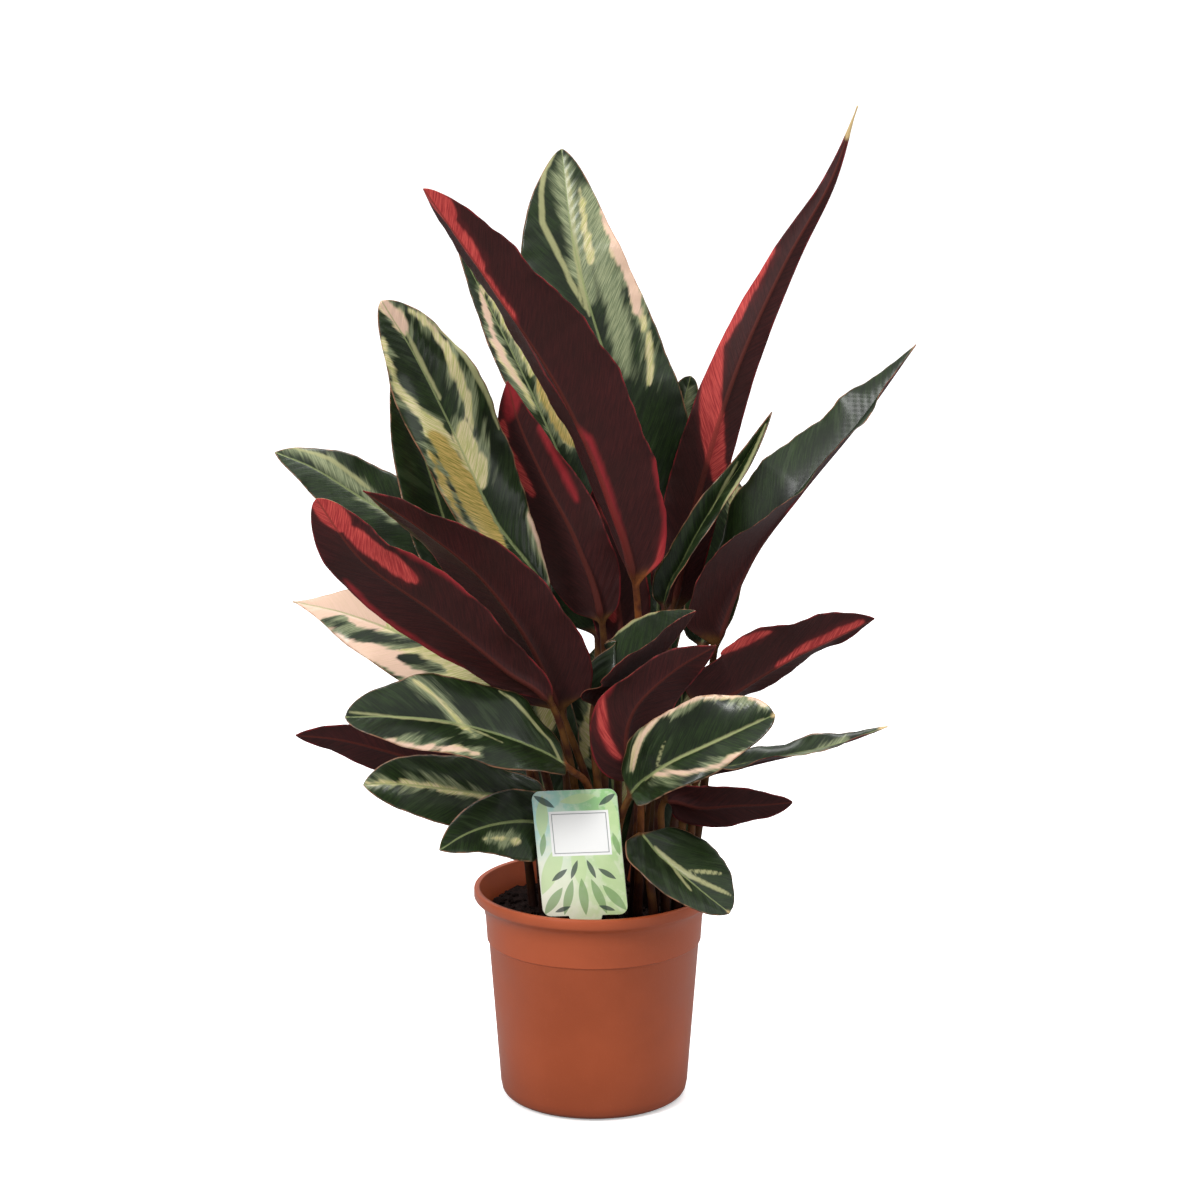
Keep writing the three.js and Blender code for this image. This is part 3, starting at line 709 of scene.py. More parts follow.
def blade_section(leaf, along, reach, length):
    """Where the blade's middle surface lies off the midrib, across and up, and how steeply it runs there."""
    side = np.sign(reach)
    far = np.abs(reach)
    half = np.where(reach < 0, leaf["half"][0], leaf["half"][1])
    width = np.maximum(half * fullness(leaf, along), 0.5)
    fold = np.radians(leaf["fold"][0] + (leaf["fold"][1] - leaf["fold"][0]) * along)
    height, count = leaf["wave"]
    swell = height * np.minimum(1, 5 * along) * np.minimum(1, 5 * (1 - along))
    wave = swell * np.sin(2 * np.pi * count * along + 1.3 + 1.9 * side)
    ripple = np.sin(2 * np.pi * along * length / RIPPLE_STEP + 2.1 * side)
    ripple = ripple + 0.7 * np.sin(2 * np.pi * along * length / (0.61 * RIPPLE_STEP) + 0.7 * side + half)
    ripple = ripple + 0.3 * np.sin(2 * np.pi * along * length / (0.23 * RIPPLE_STEP) + 1.7 * side + half)
    wave = wave + RIPPLE_HEIGHT * ripple * np.minimum(1, 6 * along) * np.minimum(1, 6 * (1 - along)) * far
    width = width * (1 + RIPPLE_WIDTH * ripple)
    out = far * width
    vein = along * length - 1.1 * out - 0.004 * out**2
    pleat = VEIN_HEIGHT * np.minimum(out / 4, 1) * smoothstep(1 - far, 0, 0.25)
    pleat = pleat * smoothstep(along, 0.02, 0.15)
    return dict(
        across=reach * width * np.cos(fold),
        up=width * (np.sin(fold) * far - CURL * far**2) + wave * far**2
        + pleat * np.sin(2 * np.pi * vein / VEIN_STEP),
        slope=side * (width * (np.sin(fold) - 2 * CURL * far) + 2 * wave * far) / (width * np.cos(fold)),
        width=width, out=out, vein=vein,
    )


def leaf_skin(leaf):
    """Rings of points from foot to tip, upper side first, and what the leaf's colours need at each point."""
    at, total, collar = leaf_spine(leaf)
    length = total * (1 - collar)
    blade_rings = int(np.clip(length / RING_STEP, 36, 140))
    half_points = int(np.clip(sum(leaf["half"]) / ACROSS_STEP / 2, 10, 24))
    even = np.linspace(0, 1, blade_rings)
    blade = even - 0.06 * np.sin(2 * np.pi * even)
    stem = np.linspace(0, 1, STEM_RINGS, endpoint=False)
    shares = np.concatenate([stem * collar, collar + (1 - collar) * blade])
    centre, tangent = at(shares)
    along = np.concatenate([np.zeros(STEM_RINGS), blade])
    face = leaf_faces(leaf, along)
    first = flat_to(face[STEM_RINGS], tangent[STEM_RINGS])
    face[:STEM_RINGS] = first
    normal = flat_to(face, tangent)
    right = np.cross(tangent, normal)
    radius = np.concatenate([STEM_FOOT + (STEM_COLLAR - STEM_FOOT) * stem, np.full(blade_rings, STEM_COLLAR)])

    even = np.linspace(-1, 1, 2 * half_points + 1)
    spread = np.sign(even) * np.abs(even) ** 1.25
    reach = np.concatenate([spread, spread[::-1]])[None, :]
    under = np.concatenate([np.zeros(len(spread)), np.ones(len(spread))])[None, :]
    along, radius = along[:, None], radius[:, None]
    is_stem = (np.arange(len(along)) < STEM_RINGS)[:, None]
    blade_share = np.where(is_stem, 0, smoothstep(along, 0, 0.06))
    angle = reach * np.pi / 2 * 0.96
    part = blade_section(leaf, along, reach, length)
    tilt = np.hypot(1, part["slope"])
    thick = BLADE / 2 * (1 - 0.6 * np.abs(reach) ** 6)
    rib_height = 2 * radius * (1 - along) ** 3 + 0.5 * (1 - along)
    rib = rib_height * np.exp(-(part["out"] / (0.6 + 1.6 * (1 - along))) ** 2)
    groove = 0.35 * np.exp(-(part["out"] / 1.2) ** 2) * (1 - along)
    offset = np.where(under > 0, -thick - rib, thick - groove)
    x = radius * np.sin(angle) * (1 - blade_share)
    x = x + (part["across"] - offset * part["slope"] / tilt) * blade_share
    y = radius * np.cos(angle) * np.where(under > 0, -1, 1) * (1 - blade_share)
    y = y + (part["up"] + offset / tilt) * blade_share
    points = centre[:, None] + right[:, None] * x[..., None] + normal[:, None] * y[..., None]
    both = np.broadcast_to
    shape = x.shape
    return dict(
        points=points, length=length,
        reach=both(reach, shape), along=both(along, shape), under=both(under, shape),
        out=np.where(is_stem, 0, part["out"]), edge=np.where(is_stem, 0, part["width"] - part["out"]),
        vein=both(part["vein"], shape),
        down=both(np.where(is_stem, (1 - shares[:, None] / collar), 0), shape),
        blade=both(blade_share, shape),
    )


def rolled_grid(points):
    """A closed tube whose rings hold the given points, with both ends filled."""
    rings, around = points.shape[:2]
    mesh = bmesh.new()
    bmesh.ops.create_grid(mesh, x_segments=around, y_segments=rings - 1, size=0.5)
    column = mesh.verts.layers.int.new("column")
    row = mesh.verts.layers.int.new("row")
    for vertex in mesh.verts:
        place = round((vertex.co.x + 0.5) * around)
        vertex[column] = place % around
        vertex[row] = round((vertex.co.y + 0.5) * (rings - 1))
        vertex.co = points[vertex[row], vertex[column]] * MM
    seam = [vertex for vertex in mesh.verts if vertex[column] == 0]
    bmesh.ops.remove_doubles(mesh, verts=seam, dist=1e-8)
    bmesh.ops.holes_fill(mesh, edges=[edge for edge in mesh.edges if edge.is_boundary], sides=0)
    bmesh.ops.recalc_face_normals(mesh, faces=mesh.faces)
    return mesh


# Colours of a leaf
MARK_KINDS = ("cream", "clear", "pink", "olive", "sage", "rib", "dry")
FAR_OUT = 12.0
PIXELS_PER_HALF_MM = 1.75
RIB_WIDTH = 1.75


def in_photo(points):
    """Where points of the plant, in millimetres, lie in the photograph, in pixels."""
    away = points - np.array(CAMERA_AT)
    pitch = math.radians(CAMERA_PITCH)
    depth = away[..., 1] * math.cos(pitch) - away[..., 2] * math.sin(pitch)
    height = away[..., 1] * math.sin(pitch) + away[..., 2] * math.cos(pitch)
    scale = PHOTO_SIZE * LENS / SENSOR / depth
    return np.stack([PHOTO_SIZE / 2 + scale * away[..., 0], PHOTO_SIZE / 2 - scale * height], axis=-1)


def leaf_marks(name, skin):
    """All strokes of a leaf as kinds, half widths in millimetres and shares along and across the blade."""
    marks = list(BLADE_MARKS.get(name, ()))
    seen = in_photo(skin["points"])
    for kind, side, width, *points in PHOTO_MARKS.get(name, ()):
        half_width = width / PIXELS_PER_HALF_MM * MARK_SCALE.get((name, kind), 1)
        if kind == "cream" and half_width < RIB_WIDTH:
            kind = "rib"
        here = (skin["along"] > 0) & (skin["under"] == (side == "under"))
        shares = []
        for point in points:
            nearest = np.argmin(np.where(here, np.linalg.norm(seen - point, axis=-1), np.inf))
            shares.append((round(skin["along"].flat[nearest], 2), round(skin["reach"].flat[nearest], 2)))
        marks.append((kind, half_width, *shares))
    return marks


def inside_stroke(places, line, half_width):
    """How many millimetres inside a stroke each place lies. A stroke narrows a little towards both ends."""
    lengths = np.linalg.norm(np.diff(line, axis=0), axis=1)
    passed = np.concatenate([[0], np.cumsum(lengths)])
    deepest = np.full(places.shape[:-1], -FAR_OUT)
    for start, end, before, length in zip(line, line[1:], passed, lengths):
        run = (end - start) / max(length, 1e-6)
        share = ((places - start) @ run).clip(0, length)
        distance = np.linalg.norm(places - start - share[..., None] * run, axis=-1)
        place = (before + share) / passed[-1]
        deepest = np.maximum(deepest, half_width * (0.4 + 0.6 * np.sin(np.pi * place) ** 0.5) - distance)
    return deepest


def painted(leaf, skin, marks, kind):
    """How many millimetres inside the strokes of one kind each point of a leaf lies."""
    length = skin["length"]
    places = np.stack([skin["along"] * length, np.sign(skin["reach"]) * skin["out"]], axis=-1)
    field = np.full(places.shape[:-1], -FAR_OUT)
    for stroke, half_width, *points in marks:
        if stroke != kind:
            continue
        line = []
        for along, reach in points:
            half = leaf["half"][0 if reach < 0 else 1] * fullness(leaf, along)
            line.append((along * length, reach * half))
        if len(line) == 1:
            line.append((line[0][0] - 1, line[0][1]))
        field = np.maximum(field, inside_stroke(places, np.array(line), half_width))
    return np.where(skin["down"] > 0, -FAR_OUT, field)


def keep(mesh, name, values):
    """Stores three values for each point of a mesh under a name that its material reads."""
    made = mesh.attributes.new(name, "FLOAT_VECTOR", "POINT")
    made.data.foreach_set("vector", np.ascontiguousarray(values, dtype=np.float32).ravel())


def new_piece(mesh, name, materials, slot, *nodes):
    """Makes an object of a finished mesh, riding on the plant and standing for the given nodes."""
    data = bpy.data.meshes.new(name)
    mesh.to_mesh(data)
    mesh.free()
    for polygon in data.polygons:
        polygon.use_smooth = True
    for material in materials:
        data.materials.append(material)
    piece = bpy.data.objects.new(name, data)
    bpy.context.collection.objects.link(piece)
    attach(piece, "root")
    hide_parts(*nodes)
    return piece


def make_leaf(name, number, material):
    skin = leaf_skin(LEAVES[name])
    mesh = rolled_grid(skin["points"])
    mesh.verts.ensure_lookup_table()
    column = [v[mesh.verts.layers.int["column"]] for v in mesh.verts]
    row = [v[mesh.verts.layers.int["row"]] for v in mesh.verts]
    mesh.verts.layers.int.remove(mesh.verts.layers.int["column"])
    mesh.verts.layers.int.remove(mesh.verts.layers.int["row"])
    piece = new_piece(mesh, name + "_look", [material], "leaf", name)
    pick = (np.array(row), np.array(column))

    def kept(attribute, *fields):
        keep(piece.data, attribute, np.stack([field[pick] for field in fields], axis=1))

    still = np.ones_like(skin["out"])
    side = np.sign(skin["reach"])
    kept("place", skin["along"], skin["edge"], skin["under"])
    kept("vein", skin["vein"], skin["out"], still * (7.3 * number) + 31 * side)
    marks = leaf_marks(name, skin)
    fields = [painted(LEAVES[name], skin, marks, kind) for kind in MARK_KINDS]
    cream, clear, pink, olive, sage, rib, dry = fields
    kept("marks", np.minimum(cream, -clear), pink, olive)
    kept("lines", sage, rib, dry)
    kept("stem", skin["down"], skin["blade"], still * STEM_TONE.get(name, 0.5))
    return piece


# Nodes of a material
def put(tree, kind, inputs=(), **settings):
    """Adds a node. Inputs are values or other nodes' sockets, by name or number."""
    made = tree.nodes.new(kind)
    for name, value in settings.items():
        setattr(made, name, value)
    for key, value in dict(inputs).items():
        if isinstance(value, bpy.types.NodeSocket):
            tree.links.new(value, made.inputs[key])
        else:
            made.inputs[key].default_value = value
    return made


def maths(tree, operation, *values):
    return put(tree, "ShaderNodeMath", dict(enumerate(values)), operation=operation).outputs[0]


def mixed(tree, share, first, second):
    inputs = {0: share, 6: first, 7: second}
    return put(tree, "ShaderNodeMix", inputs, data_type="RGBA").outputs[2]


def ramp(tree, value, low, high, from_value=0, to_value=1):
    inputs = {"Value": value, "From Min": low, "From Max": high, "To Min": from_value, "To Max": to_value}
    return put(tree, "ShaderNodeMapRange", inputs, interpolation_type="SMOOTHSTEP").outputs[0]


def noisy(tree, where, scale, detail=3.0, roughness=0.55):
    inputs = {"Vector": where, "Scale": scale, "Detail": detail, "Roughness": roughness}
    return put(tree, "ShaderNodeTexNoise", inputs).outputs["Fac"]


def stored(tree, name):
    """The three values that a mesh keeps under a name."""
    read = put(tree, "ShaderNodeAttribute", attribute_name=name)
    return put(tree, "ShaderNodeSeparateXYZ", {0: read.outputs["Vector"]}).outputs


def new_material(name):
    material = bpy.data.materials.new(name)
    material.use_nodes = True
    tree = material.node_tree
    tree.nodes.clear()
    surface = put(tree, "ShaderNodeBsdfPrincipled")
    put(tree, "ShaderNodeOutputMaterial", {"Surface": surface.outputs[0]})
    return material, tree, surface


def bumped(tree, surface, height, strength, distance):
    inputs = {"Height": height, "Strength": strength, "Distance": distance}
    tree.links.new(put(tree, "ShaderNodeBump", inputs).outputs[0], surface.inputs["Normal"])


def new_group(name, inputs, outputs):
    group = bpy.data.node_groups.new(name, "ShaderNodeTree")
    for socket, value in inputs:
        made = group.interface.new_socket(socket, in_out="INPUT", socket_type="NodeSocketFloat")
        made.default_value = value
    for socket in outputs:
        group.interface.new_socket(socket, in_out="OUTPUT", socket_type="NodeSocketFloat")
    return group, group.nodes.new("NodeGroupInput").outputs, group.nodes.new("NodeGroupOutput").inputs


def feathered_edge():
    """Turns a painted field, in millimetres, into a mask whose edge is feathered along the side veins."""
    tree, given, result = new_group(
        "feathered edge",
        [("Field", 0), ("Vein", 0), ("Out", 0), ("Seed", 0), ("Ragged", 12), ("Soft", 0.8)],
        ["Mask"],
    )

    def streaks(across, along, detail):
        where = put(tree, "ShaderNodeCombineXYZ", {
            0: maths(tree, "MULTIPLY", given["Vein"], across),
            1: maths(tree, "MULTIPLY", given["Out"], along),
            2: given["Seed"],
        }).outputs[0]
        return maths(tree, "SUBTRACT", noisy(tree, where, 1.0, detail, 0.6), 0.5)

    ragged = maths(tree, "MULTIPLY_ADD", streaks(0.05, 0.03, 2.0), 0.9, streaks(0.15, 0.03, 3.0))
    field = maths(tree, "MULTIPLY_ADD", ragged, given["Ragged"], given["Field"])
    low = maths(tree, "MULTIPLY", given["Soft"], -1)
    tree.links.new(ramp(tree, field, low, given["Soft"]), result["Mask"])
    return tree


def leaf_material(edge_group):
    material, tree, surface = new_material("leaf")
    along, edge, under = stored(tree, "place")
    vein, out, seed = stored(tree, "vein")
    cream_field, pink_field, olive_field = stored(tree, "marks")
    sage_field, rib_field, dry_field = stored(tree, "lines")
    down, blade, tone = stored(tree, "stem")

    def feathers(field, ragged, soft, shift):
        made = put(tree, "ShaderNodeGroup", node_tree=edge_group)
        moved = maths(tree, "ADD", seed, shift)
        for name, value in dict(Field=field, Vein=vein, Out=out, Seed=moved).items():
            tree.links.new(value, made.inputs[name])
        tree.links.new(maths(tree, "MULTIPLY_ADD", under, -0.6 * ragged, ragged), made.inputs["Ragged"])
        made.inputs["Soft"].default_value = soft
        return made.outputs["Mask"]

    def less(value, strength):
        return maths(tree, "MULTIPLY", value, strength)

    cream = feathers(cream_field, 8, 1.2, 0)
    fringe = feathers(maths(tree, "ADD", cream_field, 1.6), 20, 2.6, 3.7)
    sage = maths(tree, "MAXIMUM", less(fringe, 0.8), feathers(sage_field, 15, 3.4, 17.7))
    pink = feathers(pink_field, 5.5, 2.5, 9.1)
    olive = feathers(olive_field, 10, 2, 5.3)
    rib_line = feathers(rib_field, 1.6, 0.8, 13.9)
    dry = feathers(dry_field, 2, 1.5, 1.3)
    object_place = put(tree, "ShaderNodeTexCoord").outputs["Object"]
    blotch = noisy(tree, object_place, 38.0, 3.0)
    fine_place = put(tree, "ShaderNodeCombineXYZ", {0: vein, 1: less(out, 0.12), 2: seed}).outputs[0]
    fine = noisy(tree, fine_place, 1.1, 3.0)
    broad_inputs = {0: less(vein, 0.14), 1: less(out, 0.05), 2: seed}
    broad = noisy(tree, put(tree, "ShaderNodeCombineXYZ", broad_inputs).outputs[0], 1.0, 2.0)
    rib_reach = maths(tree, "MULTIPLY_ADD", along, -1.0, 1.7)
    midrib = maths(tree, "SUBTRACT", 1, ramp(tree, out, less(rib_reach, 0.3), rib_reach))

    # Upper side
    green = mixed(tree, ramp(tree, fine, 0.35, 0.7), GREEN_DARK, GREEN_MID)
    green = mixed(tree, ramp(tree, blotch, 0.35, 0.7, 0, 0.7), green, GREEN_DEEP)
    green = mixed(tree, ramp(tree, broad, 0.55, 0.68, 0, 0.45), green, SAGE_DARK)
    pale = mixed(tree, ramp(tree, fine, 0.35, 0.65), CREAM, CREAM_GREEN)
    pale = mixed(tree, olive, pale, mixed(tree, ramp(tree, fine, 0.35, 0.65), YELLOW_OLIVE, OLIVE_DARK))
    pale = mixed(tree, less(pink, 0.85), pale, CREAM_PINK)
    washed = mixed(tree, ramp(tree, fine, 0.35, 0.65), SAGE, SAGE_PALE)
    upper = mixed(tree, less(sage, 0.85), green, washed)
    upper = mixed(tree, cream, upper, pale)
    upper = mixed(tree, less(rib_line, 0.85), upper, RIB_PALE)
    upper = mixed(tree, less(midrib, ramp(tree, broad, 0.35, 0.6, 0.25, 0.8)), upper, MIDRIB_GREEN)
    upper_rim = maths(tree, "SUBTRACT", 1, ramp(tree, edge, 0.2, 1.1))
    upper = mixed(tree, less(upper_rim, ramp(tree, broad, 0.4, 0.6, 0.15, 0.7)), upper, RIM_PINK)

    # Underside
    wine = mixed(tree, ramp(tree, fine, 0.3, 0.75), WINE_DARK, WINE)
    wine = mixed(tree, ramp(tree, blotch, 0.3, 0.8, 0, 0.6), wine, WINE_BROWN)
    flame = mixed(tree, ramp(tree, fine, 0.35, 0.65), FLAME_DEEP, FLAME)
    lower = mixed(tree, less(fringe, 0.5), wine, FLAME_SHADE)
    lower = mixed(tree, cream, lower, flame)
    lower = mixed(tree, less(pink, 0.9), lower, MARGIN_RED)
    lower = mixed(tree, less(olive, 0.8), lower, UNDER_OLIVE)
    lower_rim = maths(tree, "SUBTRACT", 1, ramp(tree, edge, 0.2, 1.3))
    lower = mixed(tree, less(lower_rim, ramp(tree, broad, 0.4, 0.6, 0.1, 0.6)), lower, MARGIN_RED)
    lower = mixed(tree, less(midrib, 0.5), lower, RIB_RED)

    # Stem
    shade = noisy(tree, object_place, 110.0, 4.0)
    bark = mixed(tree, tone, STEM_OLIVE, STEM_OCHRE)
    bark = mixed(tree, ramp(tree, shade, 0.35, 0.7), bark, STEM_RED)
    # Stems grow darker towards their foot: partly their own red base, partly painted shade among the crowded
    # stems
    bark = mixed(tree, ramp(tree, down, 0.25, 1.0), bark, STEM_FOOT_RED_AND_SHADE)

    underneath = ramp(tree, under, 0.45, 0.55)
    base = mixed(tree, underneath, upper, lower)
    base = mixed(tree, dry, base, DRY_TIP)
    base = mixed(tree, maths(tree, "SUBTRACT", 1, ramp(tree, blade, 0.4, 1.0)), base, bark)
    tree.links.new(base, surface.inputs["Base Color"])
    rough = ramp(tree, under, 0.45, 0.55, UPPER_ROUGH, UNDER_ROUGH)
    rough = maths(tree, "MULTIPLY_ADD", blotch, 0.12, rough)
    tree.links.new(rough, surface.inputs["Roughness"])
    surface.inputs["Specular IOR Level"].default_value = LEAF_SHINE
    waxy = maths(tree, "SUBTRACT", 1, underneath)
    tree.links.new(less(maths(tree, "MULTIPLY", waxy, blade), WAX), surface.inputs["Coat Weight"])
    surface.inputs["Coat Roughness"].default_value = WAX_ROUGH
    veinlets = maths(tree, "MULTIPLY_ADD", fine, 0.7, less(shade, 0.4))
    bumped(tree, surface, veinlets, 0.4, 0.0008)
    return material


def terracotta_material():
    material, tree, surface = new_material("terracotta plastic")
    where = put(tree, "ShaderNodeTexCoord").outputs["Object"]
    height = put(tree, "ShaderNodeSeparateXYZ", {0: where}).outputs[2]
    cloud = noisy(tree, where, 18.0, 4.0)
    grain = noisy(tree, where, 900.0, 2.0)
    base = mixed(tree, ramp(tree, cloud, 0.35, 0.7), POT_BROWN, POT_ORANGE)
    # Painted shade: the pot turns darker over its bottom 40 millimetres, towards the floor
    base = mixed(tree, ramp(tree, height, 0.04, 0.0, 0, 0.35), base, POT_BOTTOM_SHADE)
    base = mixed(tree, ramp(tree, grain, 0.62, 0.75, 0, 0.25), base, POT_LIGHT)
    tree.links.new(base, surface.inputs["Base Color"])
    tree.links.new(ramp(tree, cloud, 0.3, 0.7, 0.34, 0.46), surface.inputs["Roughness"])
    bumped(tree, surface, grain, 0.12, 0.0003)
    return material


def soil_material():
    material, tree, surface = new_material("potting mix")
    where = put(tree, "ShaderNodeTexCoord").outputs["Object"]
    crumbs = noisy(tree, where, 260.0, 5.0, 0.7)
    fibre = put(tree, "ShaderNodeTexVoronoi", {"Vector": where, "Scale": 190.0}).outputs["Distance"]
    base = mixed(tree, ramp(tree, crumbs, 0.35, 0.7), SOIL_DARK, SOIL_BROWN)
    base = mixed(tree, ramp(tree, fibre, 0.12, 0.02, 0, 0.6), base, SOIL_FIBRE)
    tree.links.new(base, surface.inputs["Base Color"])
    surface.inputs["Roughness"].default_value = 0.95
    surface.inputs["Specular IOR Level"].default_value = 0.1
    height = maths(tree, "MULTIPLY_ADD", fibre, -0.5, crumbs)
    bumped(tree, surface, height, 0.8, 0.003)
    return material


# Pot, soil and tag
def make_pot(material):
    mesh = bmesh.new()
    profile = [mesh.verts.new((radius * MM, 0, height * MM)) for radius, height in POT_OUTSIDE + POT_INSIDE]
    edges = [mesh.edges.new(pair) for pair in zip(profile, profile[1:])]
    bmesh.ops.spin(
        mesh, geom=profile + edges, cent=(0, 0, 0), axis=(0, 0, 1),
        angle=2 * math.pi, steps=POT_SIDES, use_merge=True,
    )
    bmesh.ops.remove_doubles(mesh, verts=mesh.verts, dist=1e-7)
    bmesh.ops.recalc_face_normals(mesh, faces=mesh.faces)
    piece = new_piece(mesh, "pot_look", [material], "terracotta", "pot")
    drills = bmesh.new()
    for count, at in DRAIN_RINGS:
        for step in range(count):
            angle = 2 * math.pi * (step + 0.5) / count
            where = Vector((at * math.cos(angle), at * math.sin(angle), 0)) * MM
            bmesh.ops.create_cone(
                drills, cap_ends=True, segments=24, radius1=DRAIN_RADIUS * MM, radius2=DRAIN_RADIUS * MM,
                depth=4 * POT_FLOOR * MM, matrix=Matrix.Translation(where),
            )
    cutter_mesh = bpy.data.meshes.new("drain holes")
    drills.to_mesh(cutter_mesh)
    drills.free()
    cutter = bpy.data.objects.new("drain holes", cutter_mesh)
    bpy.context.collection.objects.link(cutter)
    cut = piece.modifiers.new("drain holes", "BOOLEAN")
    cut.object = cutter
    cut.operation = "DIFFERENCE"
    cut.solver = "EXACT"
    drilled = bpy.data.meshes.new_from_object(piece.evaluated_get(bpy.context.evaluated_depsgraph_get()))
    piece.modifiers.clear()
    piece.data = drilled
    bpy.data.objects.remove(cutter)
    smooth_by_angle(piece.data, 35)
    return piece


def smooth_by_angle(data, degrees):
    """Smooth shading that stays sharp where faces meet at more than an angle."""
    mesh = bmesh.new()
    mesh.from_mesh(data)
    for edge in mesh.edges:
        edge.smooth = len(edge.link_faces) == 2 and edge.calc_face_angle() < math.radians(degrees)
    for face in mesh.faces:
        face.smooth = True
    mesh.to_mesh(data)
    mesh.free()


def make_soil(material):
    chance = random.Random(5)
    mesh = bmesh.new()
    bmesh.ops.create_grid(mesh, x_segments=SOIL_GRID, y_segments=SOIL_GRID, size=1)
    for vertex in mesh.verts:
        x, y, _ = vertex.co
        place = Vector((x * math.sqrt(1 - y * y / 2), y * math.sqrt(1 - x * x / 2), 0)) * SOIL_RADIUS
        lumps = sum(height * noise.noise(place / size) for height, size in SOIL_LUMPS)
        vertex.co = (place + Vector((0, 0, SOIL_TOP - 0.3 + lumps))) * MM
    rim = [edge for edge in mesh.edges if edge.is_boundary]
    wall = bmesh.ops.extrude_edge_only(mesh, edges=rim)["geom"]
    for vertex in wall:
        if isinstance(vertex, bmesh.types.BMVert):
            vertex.co = (vertex.co.x * 0.8, vertex.co.y * 0.8, (POT_FLOOR + 0.3) * MM)
    bmesh.ops.holes_fill(mesh, edges=[edge for edge in mesh.edges if edge.is_boundary], sides=0)
    for _ in range(SOIL_CRUMBS):
        angle, share = chance.uniform(0, 2 * math.pi), math.sqrt(chance.random())
        size = chance.uniform(0.5, 1.9) * MM
        place = Vector((math.cos(angle), math.sin(angle), 0)) * share * (SOIL_RADIUS - 3) * MM
        place.z = (SOIL_TOP + chance.uniform(-0.8, 0.9)) * MM
        turn = Matrix.Rotation(chance.uniform(0, 6), 4, "X") @ Matrix.Rotation(chance.uniform(0, 6), 4, "Z")
        shape = Matrix.Diagonal((chance.uniform(0.6, 2.2), 1, chance.uniform(0.5, 1), 1))
        bmesh.ops.create_icosphere(
            mesh, subdivisions=1, radius=size, matrix=Matrix.Translation(place) @ turn @ shape,
        )
    bmesh.ops.recalc_face_normals(mesh, faces=mesh.faces)
    return new_piece(mesh, "soil_look", [material], "soil", "soil")


def make_tag(material):
    mesh = bmesh.new()
    half = TAG_WIDTH / 2
    outline = [
        (-half, TAG_HEIGHT), (-half, 0),
        (-STAKE_WIDTH / 2, 0), (-STAKE_TIP, -STAKE), (STAKE_TIP, -STAKE), (STAKE_WIDTH / 2, 0),
        (half, 0), (half, TAG_HEIGHT),
    ]
    corners = [mesh.verts.new((x, y, 0)) for x, y in outline]
    mesh.faces.new(corners)
    rounded = [corners[0], corners[1], corners[6], corners[7]]
    bmesh.ops.bevel(
        mesh, geom=rounded, offset=TAG_CORNER, affect="VERTICES", segments=8, profile=0.5, material=-1,
    )
    made = bmesh.ops.extrude_face_region(mesh, geom=mesh.faces[:])["geom"]
    front = [part for part in made if isinstance(part, bmesh.types.BMVert)]
    bmesh.ops.translate(mesh, verts=front, vec=(0, 0, TAG_THICK))
    bmesh.ops.recalc_face_normals(mesh, faces=mesh.faces)
    rims = [edge for edge in mesh.edges if edge.calc_face_angle(0) > 1]
    bmesh.ops.bevel(mesh, geom=rims, offset=0.12, affect="EDGES", segments=2, profile=0.5, material=-1)
    card = np.array([vertex.co[:] for vertex in mesh.verts])
    yaw = Matrix.Rotation(math.radians(TAG_YAW), 4, "Z")
    upright = Matrix.Rotation(math.radians(90 + TAG_BACK), 4, "X")
    lean = Matrix.Rotation(math.radians(TAG_LEAN), 4, "Z")
    turn = Matrix.Translation(TAG_AT) @ (yaw @ upright) @ lean
    bmesh.ops.transform(mesh, matrix=Matrix.Scale(MM, 4) @ turn, verts=mesh.verts)
    piece = new_piece(mesh, "tag_look", [material], "card", "tag")
    keep(piece.data, "card", card)
    smooth_by_angle(piece.data, 40)
    return piece


def stamp(tree, where, centre, turn, long, wide):
    """A mask in the shape of a pointed leaf on the card."""
    inputs = {
        "Vector": where,
        "Location": (*centre, 0),
        "Rotation": (0, 0, math.radians(turn)),
        "Scale": (long, wide, 1),
    }
    local = put(tree, "ShaderNodeMapping", inputs, vector_type="TEXTURE").outputs[0]
    x, y, _ = put(tree, "ShaderNodeSeparateXYZ", {0: local}).outputs
    inside = maths(tree, "SUBTRACT", maths(tree, "MULTIPLY_ADD", maths(tree, "MULTIPLY", x, x), -1, 1),
                   maths(tree, "ABSOLUTE", y))
    return ramp(tree, inside, -0.04, 0.08)


def panel(tree, x, y, centre, size, line):
    """Masks of a rectangle on the card and of a line round its edge."""
    off_x = maths(tree, "ABSOLUTE", maths(tree, "SUBTRACT", x, centre[0]))
    off_y = maths(tree, "ABSOLUTE", maths(tree, "SUBTRACT", y, centre[1]))
    far_x = maths(tree, "SUBTRACT", off_x, size[0] / 2)
    far_y = maths(tree, "SUBTRACT", off_y, size[1] / 2)
    outside = maths(tree, "MAXIMUM", far_x, far_y)
    inside = maths(tree, "SUBTRACT", 1, ramp(tree, outside, -0.1, 0.1))
    frame_line = ramp(tree, maths(tree, "ABSOLUTE", maths(tree, "ADD", outside, 1.6)), line, line / 2)
    return inside, frame_line


